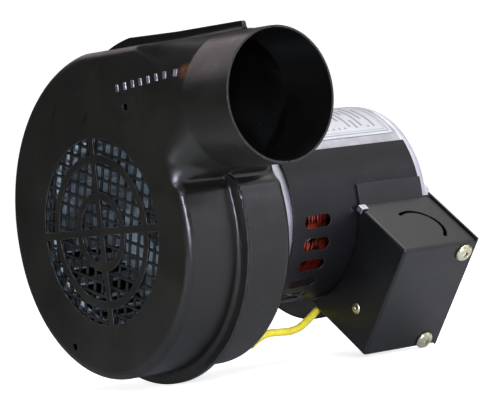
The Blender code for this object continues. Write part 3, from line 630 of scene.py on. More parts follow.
def enamel(name, tone, roughness, sheet_mm, warm=0.0, level=0.5):
    """Satin black enamel on sheet: faint orange peel, slow waves, dust, and sharp edges lightened to bluish
    grey in patches, partly wear to the primer and partly a painted edge highlight.
    """
    finish = Finish(name, roughness)
    dust = finish.ramp(finish.noise(0.9, 1.0), 0.70, 0.78)
    # Patchy mask on sharp edges: partly wear to the primer, partly a painted highlight where the sheet's cut
    # edges catch light.
    patchy_mask = finish.times(finish.edges(0.5), finish.ramp(finish.noise(3.0, 4.0), 0.42, 0.62))
    lighter = tuple(v * 1.6 + 0.0015 + k for v, k in zip(tone, (warm, warm * 0.6, 0.0)))
    colour = finish.mix(finish.ramp(finish.noise(34.0, 4.0), 0.3, 0.7), tone, lighter)
    colour = finish.mix(finish.times(dust, 0.04), colour, (0.32, 0.32, 0.34))
    # Lightens the masked edges to bluish grey: worn primer together with a painted edge highlight.
    colour = finish.mix(finish.times(patchy_mask, 0.45), colour, (0.16, 0.16, 0.19))
    rough = finish.ramp(finish.noise(14.0, 5.0), 0.3, 0.7, roughness - 0.05, roughness + 0.07)
    finish.paint(Base_Color=colour, Roughness=rough, IOR=1.5, Specular_IOR_Level=level)
    finish.bump((finish.noise(sheet_mm, 1.0), 0.15), (finish.noise(1.6, 2.0), 0.012), edge_mm=0.35)
    return finish


def housing_enamel():
    """The housing's enamel, with the scuffs and the rust bloom by the outlet."""
    finish = enamel("housing_enamel", (0.0022, 0.0020, 0.0016), 0.31, 46.0, 0.0005)
    colour = finish.shader.inputs["Base Color"].links[0].from_socket
    patches = finish.ramp(finish.noise(5.0, 4.0), 0.35, 0.6)
    rust = finish.times(finish.spot((4, -89, 84.5), (9, 6, 5)), patches)
    colour = finish.mix(finish.times(rust, 0.4), colour, (0.16, 0.055, 0.02))
    level = 0.5
    patchy_mask = finish.ramp(finish.noise(3.0, 4.0), 0.35, 0.6)
    for place, turn in (((0, 33, 70), 50.0), ((0, 3, 65.6), 35.0)):
        scuff = finish.times(finish.spot(place, (3, 7.5, 1.6), turn), patchy_mask)
        colour = finish.mix(scuff, colour, (0.001, 0.001, 0.001))
        level = finish.math("SUBTRACT", level, finish.times(scuff, 0.42))
    finish.paint(Base_Color=colour, Specular_IOR_Level=level)
    return finish


def metal(name, colour, roughness, grain_mm=0.5, stretch=(1, 1, 1), depth=0.01, metallic=0.95, tint=0.8):
    """Bare or plated metal with fine grain, cloudy tone and brighter rubbed edges."""
    finish = Finish(name, roughness, metallic)
    grain = finish.noise(grain_mm, 3.0, stretch)
    cloud = finish.ramp(finish.noise(9.0, 4.0), 0.35, 0.65)
    tone = finish.mix(cloud, colour, tuple(v * tint for v in colour))
    bright = tuple(min(1.0, v * 1.2) for v in colour)
    tone = finish.mix(finish.times(finish.edges(0.3), 0.6), tone, bright)
    rough = finish.ramp(grain, 0.3, 0.7, roughness - 0.07, roughness + 0.1)
    finish.paint(Base_Color=tone, Roughness=rough)
    finish.bump((grain, depth), edge_mm=0.2)
    return finish


def spangled_zinc(name, colour, roughness):
    """Galvanised sheet: spangle patches a few millimetres across."""
    finish = Finish(name, roughness, 0.6)
    cells = finish.add("TexVoronoi", {"Vector": finish.place, "Scale": 1.0 / (3.0 * MM)})
    shade = finish.add("SeparateColor", {"Color": cells.outputs["Color"]}).outputs[0]
    tone = finish.mix(shade, colour, tuple(v * 0.72 for v in colour))
    finish.paint(Base_Color=tone, Roughness=finish.ramp(shade, 0, 1, roughness - 0.06, roughness + 0.08))
    finish.bump((finish.noise(0.7, 3.0), 0.01), edge_mm=0.15)
    return finish


def plastic(name, colour, roughness, grain_mm=0.8, depth=0.02):
    """Moulded insulation or rubber: soft grain, slight dirt in patches."""
    finish = Finish(name, roughness)
    dirt = finish.ramp(finish.noise(7.0, 5.0), 0.45, 0.75)
    tone = finish.mix(finish.times(dirt, 0.35), colour, tuple(v * 0.45 for v in colour))
    grain = finish.noise(grain_mm, 3.0)
    rough = finish.ramp(grain, 0.3, 0.7, roughness - 0.06, roughness + 0.1)
    finish.paint(Base_Color=tone, Roughness=rough)
    finish.bump((grain, depth))
    return finish


def laminations():
    """Varnished core: thin steel sheets stacked along the shaft."""
    finish = Finish("lamination_stack", 0.42, 0.5)
    inputs = {"Vector": finish.place, "Scale": 1.0 / (6.4 * MM), "Distortion": 0.3}
    layers = finish.add("TexWave", inputs, bands_direction="X").outputs["Fac"]
    tone = finish.mix(layers, (0.035, 0.02, 0.018), (0.13, 0.085, 0.075))
    varnish = finish.times(finish.ramp(finish.noise(6.0, 3.0), 0.4, 0.7), 0.5)
    finish.paint(Base_Color=finish.mix(varnish, tone, (0.12, 0.03, 0.015)))
    finish.bump((layers, 0.08), (finish.noise(0.6), 0.02))
    return finish


def magnet_wire():
    """Red enamelled winding wire, glossy, its varnish darker red in cloudy patches."""
    finish = Finish("winding_enamel", 0.22, 0.35)
    cloud = finish.ramp(finish.noise(7.0, 2.0), 0.40, 0.60)
    finish.paint(Base_Color=finish.mix(cloud, (0.34, 0.024, 0.006), (0.04, 0.004, 0.002)))
    finish.paint(Coat_Weight=0.6, Coat_Roughness=0.12)
    finish.bump((finish.noise(0.5, 2.0), 0.02))
    return finish


def label_film():
    """White film label with plain grey bars in rows and two thin frames; it carries no text."""
    finish = Finish("label_film", 0.42)
    axes = finish.add("SeparateXYZ", {"Vector": finish.place}).outputs
    height = finish.math("ADD", axes[2], -SHAFT_Z * MM)
    turn = finish.times(finish.math("ARCTAN2", height, axes[1]), SHELL_R * MM)
    middle = radians(sum(LABEL_DEG) / 2) * SHELL_R * MM
    across = finish.math("SUBTRACT", turn, middle)
    along = finish.math("SUBTRACT", axes[0], sum(LABEL_X) / 2 * MM)
    to_side, to_end = finish.math("ABSOLUTE", across), finish.math("ABSOLUTE", along)
    half_across = radians(LABEL_DEG[1] - LABEL_DEG[0]) * SHELL_R / 2
    half_along = (LABEL_X[1] - LABEL_X[0]) / 2

    def frame_line(inset, width):
        a = finish.math("SUBTRACT", to_side, (half_across - inset) * MM)
        b = finish.math("SUBTRACT", to_end, (half_along - inset) * MM)
        near = finish.math("ABSOLUTE", finish.math("MAXIMUM", a, b))
        return finish.ramp(near, width * MM, width * 0.6 * MM)

    row_pitch, block_pitch, margin = 4.6, 7.5, 7.0
    rows = finish.times(along, 1.0 / (row_pitch * MM))
    in_row = finish.math("ABSOLUTE", finish.math("SUBTRACT", finish.math("FRACT", rows), 0.5))
    place = {"X": finish.times(across, 1.0 / (block_pitch * MM)), "Y": finish.math("FLOOR", rows)}
    place = finish.add("CombineXYZ", place).outputs[0]
    place = finish.add("VectorMath", {0: place}, operation="FLOOR").outputs[0]
    blocks = finish.add("TexWhiteNoise", {"Vector": place}, noise_dimensions="3D").outputs["Value"]
    bar = finish.times(finish.ramp(in_row, 0.20, 0.14), finish.math("GREATER_THAN", blocks, 0.38))
    for far, half in ((to_side, half_across), (to_end, half_along)):
        bar = finish.times(bar, finish.math("LESS_THAN", far, (half - margin) * MM))
    ink = finish.math("MAXIMUM", finish.math("MAXIMUM", frame_line(2.2, 0.45), frame_line(4.0, 0.25)), bar)
    patches = finish.ramp(finish.noise(12.0, 4.0), 0.3, 0.7)
    paper = finish.mix(patches, (0.485, 0.485, 0.475), (0.43, 0.43, 0.425))
    finish.paint(Base_Color=finish.mix(finish.times(ink, 0.8), paper, (0.12, 0.12, 0.13)))
    finish.bump((finish.noise(1.5, 2.0), 0.01), (finish.noise(20.0, 2.0), 0.15))
    return finish


# ---------------------------------------------------------------- housing

def spiral_radius(angle):
    """Side wall of the volute around the inlet centre, from the tongue to the top."""
    if angle < -70.0:
        return TONGUE_R + (SPIRAL_R - TONGUE_R) * sin(radians(90.0 * (angle + 180.0) / 110.0))
    if angle < -10.0:
        return SPIRAL_R
    return SPIRAL_R + (TOP_Z - SPIRAL_R) * ((angle + 10.0) / 100.0) ** 1.5


def spiral(grow):
    angles = breaks([TONGUE_DEG, 90.0], 1.5)
    radii = [spiral_radius(angle) + grow for angle in angles]
    return [(r * cos(radians(a)), r * sin(radians(a))) for r, a in zip(radii, angles)]


def wall_outline():
    """Side wall and outlet seen along the shaft, with the outlet run on past its rim."""
    past = RIM_Y - 50.0
    top, under = TUBE_Z + TUBE_R, TUBE_Z - TUBE_R
    outline = spiral(0.0)[2:] + [(DUCT_Y + 2, TOP_Z), (DUCT_Y - DUCT_LENGTH, top), (past, top), (past, under)]
    hollow = [(-88.0, under), (-81.0, under - 0.2), (-76.0, under - 1.2), (-72.0, 24.3)]
    hollow += [(-72.0, 22.3), (-75.0, 20.2), (-77.0, 17.8)]
    return evened(outline + hollow)


def rim_outline():
    """Outer edge of the rims where the halves meet, and of everything inside them."""
    top = TUBE_Z + TUBE_R + FLANGE_TUBE
    outline = spiral(FLANGE)[3:] + [(DUCT_Y + 7, top), (FLANGE_END_Y, top)]
    inner = [(FLANGE_END_Y, TUBE_Z), (FLANGE_END_Y + 30.0, TUBE_Z)]
    inner += [(-68.0, 25.0), (-77.0, 24.0), (-82.0, 20.5)]
    return evened(outline + inner, 0.8, 7)


def trim_outline(edge):
    """Outline the finished shell is cut to: the rims' edge, and the outlet as far as its own rim."""
    top, under = TUBE_Z + TUBE_R + 0.5, TUBE_Z - TUBE_R - 0.5
    kept = [point for point in edge if point[0] > -60.0 or not TONGUE_Z < point[1] < top]
    start = max(range(len(kept)), key=lambda k: np.hypot(*(kept[k] - kept[k - 1])))
    kept = kept[start:] + kept[:start]
    outlet = [(FLANGE_END_Y + 0.5, top), (RIM_Y, top), (RIM_Y, under)]
    outlet += [(-91.0, under), (-89.0, TONGUE_Z + 8.0)]
    return [tuple(point) for point in kept] + outlet


def housing_fields():
    """Distance to the pressed body, and to the body with its rims."""
    wall = distance_map(wall_outline())
    edge = rim_outline()
    rim = distance_map(edge)

    def body(x, y, z):
        share = np.clip((DUCT_Y - y) / DUCT_LENGTH, 0, 1)
        half_x = (REAR_X + (2 * TUBE_R - REAR_X) * share) / 2
        turning = (BEND + (TUBE_R - BEND) * share ** 1.15) / TUBE_R * np.minimum(half_x, TUBE_R)
        rise = 32.0 - 26.0 * share
        corner = BEND + (turning - BEND) * smooth_step(z - rise, 0.0, 18.0)
        return np.maximum(rounded_corner(wall(y, z), np.abs(x - half_x) - half_x, corner), RIM_Y - 8.0 - y)

    def body_with_rims(x, y, z):
        spare = np.where((y < -60.0) & (z > TONGUE_Z) & (z < 50.0), 0.0, 3.0)
        slab = np.maximum(np.abs(x - SEAM_X) - FLANGE_T / 2, rim(y, z) - spare)
        return filleted(body(x, y, z), slab, RIM_FILLET)

    return body, body_with_rims, edge


def prism(outline, low_x, high_x):
    return loft("prism", [[(x, y, z) for y, z in outline] for x in (low_x, high_x)])


def grille_windows():
    """The open parts of the inlet, between the ring bands and the cross of spokes."""
    made = []
    spans = ((SPOKE * 0.75, BANDS[0][0]), (BANDS[0][1], BANDS[1][0]), (BANDS[1][1], INLET_R))
    for low_r, high_r in spans:
        for quarter in range(4):
            outline = []
            for radius, order in ((high_r, 1), (low_r, -1)):
                side = degrees(asin(min(0.999, SPOKE / 2 / radius)))
                if radius == SPOKE * 0.75:
                    outline.append((SPOKE / 2 * sqrt(2), 45.0))
                    continue
                turns = breaks([side, 90.0 - side], 3.0)
                outline += [(radius, turn) for turn in (turns if order > 0 else reversed(turns))]
            places = [(radius, radians(turn + 90 * quarter)) for radius, turn in outline]
            flat = [(r * cos(a), r * sin(a)) for r, a in places]
            made.append(prism(evened(flat, 0.5, 3), -2.0, SHEET + 2.0))
    return made


def make_marks(body, finish):
    """Row of plain raised dashes where the real part carries its stamp; they say nothing."""
    depths = np.arange(-2.0, 12.0, 0.02)
    dashes = []
    for k in range(MARKS):
        y, z = (a + (b - a) * k / (MARKS - 1) for a, b in zip(MARK_FIRST, MARK_LAST))
        x = float(depths[np.argmax(body(depths, np.full_like(depths, y), np.full_like(depths, z)) < 0)])
        spot = np.array([x, y, z])
        slope = Vector([float(body(*(spot + 0.3 * axis)) - body(*(spot - 0.3 * axis))) for axis in np.eye(3)])
        out = slope.normalized()
        side = Vector((0, 0, 1)).cross(out).normalized()
        axes = (Vector(spot), (side, out.cross(side), out))
        dashes.append(block((-1.3, -2.1, -0.3), (1.3, 2.1, 0.45), 0.34, axes, 3))
    marks = joined("stamp_dashes", dashes)
    show(marks, finish, body=BODY_OF["housing_front"])


def make_housing(enamel, marks):
    body, body_with_rims, edge = housing_fields()
    low = (-3.0, RIM_Y - 12.0, FRONT_LOW.z - 9.0)
    high = (REAR_X + 6.0, FRONT_HIGH.y + 9.0, FRONT_HIGH.z + 9.0)
    shell = skin("shell", body_with_rims, low, high)
    combine(shell, skin("inside", lambda x, y, z: body(x, y, z) + SHEET, low, high))
    combine(shell, prism(trim_outline(edge), -9.0, REAR_X + 9.0), "INTERSECT")
    rim_ends = (TUBE_Z - TUBE_R, TUBE_Z + TUBE_R)
    combine(shell, [rod((SEAM_X, RIM_Y - 1, z), (SEAM_X, RIM_Y + 1.5, z), 1.6, 20) for z in rim_ends])
    rear = shell.copy()
    rear.data = shell.data.copy()
    scene.collection.objects.link(rear)
    combine(shell, block((-20, -200, -200), (FRONT_HIGH.x, 200, 200)), "INTERSECT")
    combine(rear, block((REAR_LOW.x, -200, -200), (120, 200, 200)), "INTERSECT")

    combine(shell, grille_windows())
    combine(shell, [rod((-2, y, z), (4, y, z), FACE_HOLE_R, 24) for y, z in FACE_HOLES])
    shell.name = "volute_front"
    show(shell, enamel, ["housing_front"])
    make_marks(body, marks)

    holes = [rod((REAR_X - 5, 0, SHAFT_Z), (REAR_X + 5, 0, SHAFT_Z), MOTOR_OPENING_R, 96)]
    for k in range(4):
        centre = around(MOUNT_R, 45 + 90 * k, REAR_X)
        holes.append(rod(centre - Vector((5, 0, 0)), centre + Vector((5, 0, 0)), CLEARANCE_R))
    holes.append(rod((REAR_X - 5, *GROUND_HOLE), (REAR_X + 5, *GROUND_HOLE), TAPPED_R))
    combine(rear, holes)
    rear.name = "volute_rear"
    show(rear, enamel, ["housing_rear"])


# ---------------------------------------------------------------- inlet screen and wheel

def make_screen(finish):
    """Welded square mesh: straight wires one way, and a second layer across them."""
    turn = radians(MESH_TURN)
    count = int(MESH_R // MESH_PITCH)
    random = np.random.default_rng(5)
    layers = ([], [])
    for direction, wires in enumerate(layers):
        x = SHEET + WIRE_R + FIT + 1.9 * WIRE_R * direction
        for k in range(-count, count + 1):
            offset = k * MESH_PITCH
            reach = sqrt(MESH_R ** 2 - offset ** 2)
            sway = random.uniform(-0.25, 0.25, 2)
            path = []
            for step in range(13):
                run = -reach + 2 * reach * step / 12
                bow = offset + sway[0] * sin(run / 9.0 + k) + sway[1]
                a, b = (run, bow) if direction == 0 else (bow, run)
                path.append((x, a * cos(turn) - b * sin(turn), a * sin(turn) + b * cos(turn)))
            wires.append(sweep("wire", path, WIRE_R, 10))
    screen = combine(joined("welded_screen", layers[0]), joined("layer", layers[1]), "UNION")
    return show(screen, finish, ["inlet_screen"], sharp=50)


def make_wheel(zinc, steel):
    low, high = WHEEL_LOW.x, WHEEL_HIGH.x
    ring = [(low - 1.0, EYE_R), (low - 1.0, WHEEL_R + 1.0), (low + 3.0, WHEEL_R + 1.0)]
    ring += [(low + 3.0, WHEEL_R + 0.3), (low - 0.3, WHEEL_R + 0.3), (low - 0.3, EYE_R)]
    show(revolve("wheel_front_ring", soften(ring, 0.5)), zinc, ["impeller_front_ring"])

    parts = []
    for start in (low, high - WHEEL_BAND):
        end, inner = start + WHEEL_BAND, WHEEL_R - 1.0
        parts.append(revolve("band", [(start, inner), (start, WHEEL_R), (end, WHEEL_R), (end, inner)]))
    blades = []
    steps = 9
    for number in range(BLADES):
        base = 2 * pi * number / BLADES
        sides = ([], [])
        for k in range(steps + 1):
            share = k / steps
            radius = EYE_R + 0.6 + (WHEEL_R - EYE_R - 1.0) * share
            lean = radians(BLADE_LEAN) * share ** 1.8
            half = BLADE_HALF - 0.1 * abs(2 * share - 1)
            for side, sign in zip(sides, (1, -1)):
                side.append((radius, base + lean + sign * half / radius))
        outline = sides[0] + sides[1][::-1]
        flat = [(r * cos(a), SHAFT_Z + r * sin(a)) for r, a in outline]
        blades.append(prism(flat, low + 0.4, high - 0.4))
    strip = parts[0]
    combine(strip, parts[1], "UNION")
    combine(strip, joined("blades", blades), "UNION")
    strip.name = "wheel_blades"
    show(strip, zinc, ["impeller_blades"])

    a, b = ends("impeller_backplate")
    plate = [(a, 15.0), (a, 30), (a, 34), (a, WHEEL_R + 1.0), (b, WHEEL_R + 1.0), (b, 34), (b, 30), (b, 15.0)]
    show(revolve("wheel_backplate", soften(plate, 0.3)), zinc, ["impeller_backplate"])

    start, end = ends("impeller_hub")
    bore = SHAFT_R + 0.1
    hub = [(start, bore), (start, 13.0), (a - 2.0, 14.6), (a - 2.0, 20.0), (a - 0.3, 20.0)]
    hub += [(a - 0.3, 14.6), (end, 14.6), (end, bore)]
    hub_body = revolve("wheel_hub", soften(hub, 0.4))
    screw_low, screw_high = corners("hub_set_screw")
    screw_x = (screw_low.x + screw_high.x) / 2
    combine(hub_body, rod((screw_x, 0, SHAFT_Z + 3), (screw_x, 0, SHAFT_Z + 22), 2.6))
    show(hub_body, steel, ["impeller_hub"])
    up = (0, 0, 1)
    outline = [(0, 0), (0, 1.2), (0.8, 2.2), (5.4, 2.2), (5.6, 2.0), (5.6, 0)]
    grub = turned("hub_grub_screw", (screw_x, 0, screw_low.z), up, outline, 32)
    socket = turned("socket", (screw_x, 0, screw_high.z - 2.0), up, [(0, 0), (0, 1.15), (4, 1.15), (4, 0)], 6)
    show(combine(grub, socket), steel, ["hub_set_screw"])


# ---------------------------------------------------------------- motor

def make_shaft_and_rotor(steel, lamination, alloy, bronze):
    low, high = SHAFT_LOW.x, SHAFT_HIGH.x
    edge = 0.8
    shaft = [(low, 0), (low, SHAFT_R - edge), (low + edge, SHAFT_R)]
    shaft += [(high - edge, SHAFT_R), (high, SHAFT_R - edge), (high, 0)]
    made = revolve("shaft_ground", shaft, 64)
    flat = block((low - 2, -10, SHAFT_Z + SHAFT_R - 0.7), (low + 22, 10, SHAFT_Z + 20))
    show(combine(made, flat), steel, ["motor_shaft"])
    core_low, core_high = CORE_X
    inner, outer = SHAFT_R + 0.3, CORE_BORE_R - AIR_GAP
    core = [(core_low, inner), (core_low, outer), (core_high, outer), (core_high, inner)]
    rotor = revolve("rotor_stack", core, 112)
    bars = []
    for k in range(ROTOR_BARS):
        angle = 360 / ROTOR_BARS * k
        start = around(outer, angle, core_low - 2)
        end = around(outer, angle + 10, core_high + 2)
        bars.append(rod(start, end, 0.8, 8))
    show(combine(rotor, bars), lamination, ["rotor_core"])
    for label in ("front", "rear"):
        inward = Vector((1 if label == "front" else -1, 0, 0))
        a, b = ends("rotor_end_ring_" + label)[::int(inward.x)]
        ring = revolve("rotor_cast_ring_" + label, soften([(a, 16.0), (a, 28.6), (b, 30.5), (b, 16.0)], 1.0))
        for k in range(12):
            hole = around(23.5, 30 * k, a)
            combine(ring, rod(hole - inward, hole + inward * 2.5, 2.6, 20))
        show(ring, alloy, ["rotor_end_ring_" + label])
        a, b = ends("thrust_washer_" + label)
        washer = soften([(a, SHAFT_R + 0.3), (a, 10.0), (b, 10.0), (b, SHAFT_R + 0.3)], 0.25)
        show(revolve("washer_" + label, washer, 64), bronze, ["thrust_washer_" + label])
        bush_low, bush_high = corners("bearing_bush_" + label)
        a, b, outer = bush_low.x, bush_high.x, (bush_high.y - bush_low.y) / 2
        bush = soften([(a, SHAFT_R + BEARING_GAP), (a, outer), (b, outer), (b, SHAFT_R + BEARING_GAP)], 0.5)
        show(revolve("sleeve_bearing_" + label, bush, 96), bronze, ["bearing_bush_" + label])


def bolt_holes(low_x, high_x, circle, first, radius):
    holes = []
    for k in range(4):
        turn = first + 90 * k
        holes.append(rod(around(circle, turn, low_x), around(circle, turn, high_x), radius))
    return holes


def make_shields(alloy):
    x = ends("drive_end_shield")[0]
    bore, boss = BEARING_SEAT_R, BEARING_BOSS_R
    rim = SHELL_R - 0.8
    drive = [(x + 2, bore), (x + 2, 39.5), (x, 41.5), (x, rim - 1.7), (x + 1.5, rim), (x + 21.7, rim)]
    drive += [(x + 21.7, rim - 3), (x + 5.2, rim - 3), (x + 5.2, boss), (x + 20.7, boss), (x + 20.7, bore)]
    shield = revolve("drive_end_casting", soften(drive, 1.0), 160)
    combine(shield, bolt_holes(x - 5, x + 12, BOLT_R, 0, TAPPED_R))
    combine(shield, bolt_holes(x - 5, x + 12, MOUNT_R, 45, TAPPED_R))
    show(shield, alloy, ["drive_end_shield"])

    back, seat = ends("rear_end_shield")[1] - END_CAP, SHELL_HIGH.x + 0.3
    rear = [(back + END_CAP, 0.0), (back + END_CAP, 15), (back, 18), (back, rim - 5), (back - 1.4, rim - 0.6)]
    rear += [(back - 5.0, SHELL_R), (seat, SHELL_R), (seat, rim - 2.4), (back - 4.4, rim - 3)]
    rear += [(back - 3.0, rim - 8), (back - 3.0, boss), (190.0, boss), (190.0, bore)]
    rear += [(back - 1.0, bore), (back - 1.0, 0.0)]
    shield = revolve("rear_end_casting", soften(rear, 1.2), 160)
    for k in range(8):
        turn, rib_x = 22.5 + 45 * k, back - 0.6
        combine(shield, rod(around(boss, turn, rib_x), around(48.0, turn, rib_x), 1.7, 16), "UNION")
    for k in range(4):
        boss = rod(around(BOLT_R, 90 * k, back - 2), around(BOLT_R, 90 * k, back + 0.25), 5.0, 32)
        combine(shield, boss, "UNION")
    combine(shield, bolt_holes(back - 8, back + 5, BOLT_R, 0, TAPPED_R))
    show(shield, alloy, ["rear_end_shield"])


def pan_head(name, start, axis, length, head_r, thread_r=2.0):
    """Screw with a domed head, a square recess and a rolled thread; start is its tip."""
    rise = head_r * 0.47
    profile = [(0, 0), (0, thread_r * 0.6), (0.7, thread_r * 0.95)]
    pitch = 0.8
    turns = int((length - 1.2) / pitch)
    for k in range(turns):
        profile += [(0.9 + pitch * k, thread_r * 0.82), (0.9 + pitch * (k + 0.5), thread_r)]
    profile += [(length, thread_r), (length, head_r - 0.2), (length + 0.25, head_r)]
    for k in range(1, 8):
        turn = radians(90.0 * k / 8)
        profile.append((length + 0.25 + (rise - 0.25) * sin(turn) ** 1.1, head_r * cos(turn) ** 0.55))
    profile.append((length + rise, 0))
    made = turned(name, start, axis, profile, 40)
    along = Vector(axis).normalized()
    side = along.orthogonal().normalized()
    axes = (Vector(start) + along * (length + rise), (side, along.cross(side), along))
    half = head_r * 0.27
    return combine(made, block((-half, -half, -rise * 0.75), (half, half, 3.0), 0.0, axes))


def make_bolts(zinc):
    along = Vector((1, 0, 0))
    start_x = ends("through_bolt_1")[0]
    end_x = ends("rear_end_shield")[1] - END_CAP
    for k in range(4):
        start = around(BOLT_R, 90 * k, start_x)
        length = end_x - start_x + 0.3
        outline = [(0, 0), (0, 1.4), (0.7, 2.0), (length, 2.0)]
        outline += [(length, 3.7), (length + 0.4, 3.7), (length + 0.4, 0)]
        shank = turned(f"tie_bolt_{k + 1}", start, along, outline, 32)
        hexagon = [(0, 0), (0, 3.9), (2.2, 3.9), (2.6, 3.4), (2.6, 0)]
        head = turned("head", start + along * (length + 0.2), along, hexagon, 6)
        show(combine(shank, head, "UNION"), zinc, [f"through_bolt_{k + 1}"])
        start = around(MOUNT_R, 45 + 90 * k, ends("mount_screw_1")[1])
        length = start.x - (REAR_X - SHEET) + 0.3
        screw = pan_head(f"motor_mount_screw_{k + 1}", start, -along, length, 4.0)
        show(screw, zinc, [f"mount_screw_{k + 1}"])


def lead_hole():
    return rod(box_point(LEAD_X, 45, 0), box_point(LEAD_X, 72, 0), LEAD_HOLE_R)


def slot_cutter(angle):
    """Rounded slot along the shaft, flared where it meets the outer face so that its rim is soft."""
    out = Vector((0, cos(radians(angle)), sin(radians(angle))))
    across = Vector((0, -sin(radians(angle)), cos(radians(angle))))
    radius = SLOT_H / 2
    rings = []
    flare = [(WRAP_R + rise, grow) for rise, grow in ((0.6, 0.0), (0.95, 0.12), (1.2, 0.55))]
    for far, grow in [(50.0, 0.0)] + flare + [(66.0, 0.6)]:
        ring = []
        for centre_x, first in ((SLOT_X[1] - radius, -90.0), (SLOT_X[0] + radius, 90.0)):
            for step in range(13):
                turn = radians(first + 15.0 * step)
                x = centre_x + (radius + grow) * cos(turn)
                side = (radius + grow) * sin(turn)
                ring.append(Vector((x, 0, SHAFT_Z)) + across * side + out * far)
        rings.append(ring)
    return loft("slot", rings)


def make_shell_and_wrap(zinc, enamel_finish):
    (side_deg, side_x), (low_deg, low_x) = SHELL_WINDOWS.values()
    angles = breaks([*side_deg, *low_deg, side_deg[0] + 360.0], 2.5)
    lengths = [SHELL_LOW.x, side_x[0], low_x[0], side_x[1], low_x[1], 172.0, SHELL_HIGH.x]

    def metal_here(angle, x):
        windows = SHELL_WINDOWS.values()
        return not any(turns[0] < angle < turns[1] and xs[0] < x < xs[1] for turns, xs in windows)

    shell = bent_sheet("rolled_shell", (SHELL_R - SHELL_T, SHELL_R), angles, lengths, metal_here, closed=True)
    combine(shell, lead_hole())
    under = SHAFT_Z - SHELL_R
    combine(shell, block((SHELL_LOW.x - 2, -0.35, under - 3), (low_x[0] + 1, 0.35, under + 0.5)))
    show(shell, zinc, ["motor_shell"])

    lengths = ends("motor_wrap")
    wrap = bent_sheet("cooling_wrap", (WRAP_R, WRAP_R + SHEET), breaks(WRAP_DEG, 2.0), lengths)
    combine(wrap, [slot_cutter(angle) for angle in SLOT_DEG] + [lead_hole()])
    show(wrap, enamel_finish, ["motor_wrap"])


def make_stator(lamination, wire, cord):
    low, high = CORE_X
    outer = SHELL_R - SHELL_T - FIT
    outline = [(low, CORE_BORE_R), (low, outer), (high, outer), (high, CORE_BORE_R)]
    core = revolve("stator_stack", outline, 144)
    cutters = bolt_holes(low - 3, high + 3, BOLT_R, 0, CLEARANCE_R)
    for k in range(STATOR_SLOTS):
        angle = 360.0 / STATOR_SLOTS * (k + 0.5)
        out = Vector((0, cos(radians(angle)), sin(radians(angle))))
        across = Vector((0, -out.z, out.y))
        axes = (Vector((0, 0, SHAFT_Z)), (Vector((1, 0, 0)), out, across))
        cutters.append(block((low - 3, CORE_BORE_R + 1.5, -2.2), (high + 3, 44.0, 2.2), 0.0, axes))
        cutters.append(block((low - 3, CORE_BORE_R - 1, -0.8), (high + 3, CORE_BORE_R + 2.0, 0.8), 0.0, axes))
    show(combine(core, cutters), lamination, ["stator_core"])

    def bundle(name, node, section, seed):
        """End turns: strands that wander a little around the ring; the cord loops that lace them come after.
        """
        random = np.random.default_rng(seed)
        strands = []
        for x, radius in section:
            wobble = random.uniform(0, 2 * pi, 3)
            path = []
            for k in range(90):
                angle = 4.0 * k
                shift = 0.35 * sin(radians(angle) * 3 + wobble[0]) + 0.3 * sin(radians(angle) * 7 + wobble[1])
                rise = 0.35 * sin(radians(angle) * 5 + wobble[2])
                path.append(around(radius + rise, angle, x + shift))
            strands.append(sweep("strand", path, STRAND_R, 6, closed=True))
        return show(joined(name, strands), wire, [node], sharp=60)

    def section(low_x, high_x, low_r, high_r):
        """Strand places: the outer two layers of the bundle's section."""
        spots = []
        columns, rows = int((high_x - low_x) / STRAND_PITCH), int((high_r - low_r) / STRAND_PITCH)
        for i in range(columns + 1):
            for j in range(rows + 1):
                if i in (0, columns) or j in (0, rows):
                    spots.append((low_x + i * STRAND_PITCH, low_r + j * STRAND_PITCH))
        return spots

    front_x, rear_x = ends("winding_front")[0], ends("winding_rear")[1]
    bundle("end_turns_front", "winding_front", section(front_x + 1.4, low - 2.2, 36.9, 45.1), 7)
    bundle("end_turns_rear", "winding_rear", section(high + 1.7, rear_x - 1.4, 35.9, 45.1), 8)

    loops = []
    for k in range(CORD_LOOPS):
        angle = 360.0 / CORD_LOOPS * k + 5.0
        ring = []
        near, far = front_x - 0.2, front_x + 18.0
        places = ((near, 35.6), (near, 46.9), (far, 47.0), (far, 35.4))
        for (x1, r1), (x2, r2) in zip(places, places[1:] + places[:1]):
            for step in range(4):
                share = step / 4
                turn = angle + 1.5 * sin(share * pi)
                ring.append(around(r1 + (r2 - r1) * share, turn, x1 + (x2 - x1) * share))
        loops.append(sweep("cord", ring, CORD_R, 6, closed=True))
    lacing = joined("winding_lacing", loops)
    show(lacing, cord, body=BODY_OF["winding_front"], sharp=60)


def make_label(film):
    radii = (SHELL_R + LABEL_LIFT, SHELL_R + LABEL_LIFT + LABEL_T)
    lengths = [LABEL_X[0], sum(LABEL_X) / 2, LABEL_X[1]]
    label = bent_sheet("rating_plate", radii, breaks(LABEL_DEG, 2.0), lengths)
    show(label, film, ["rating_label"])


# ---------------------------------------------------------------- junction box

def box_axes():
    """The box's origin, and its directions along the shaft, out from the motor and up along its front."""
    turn = radians(BOX_DEG)
    directions = (Vector((1, 0, 0)), Vector((0, cos(turn), sin(turn))), Vector((0, sin(turn), -cos(turn))))
    return Vector((0, 0, BOX_Z)), directions


def box_point(x, u, v):
    origin, (along, out, up) = box_axes()
    return origin + along * x + out * u + up * v


def boxed(low, high, bend=0.0):
    return block(low, high, bend, box_axes())


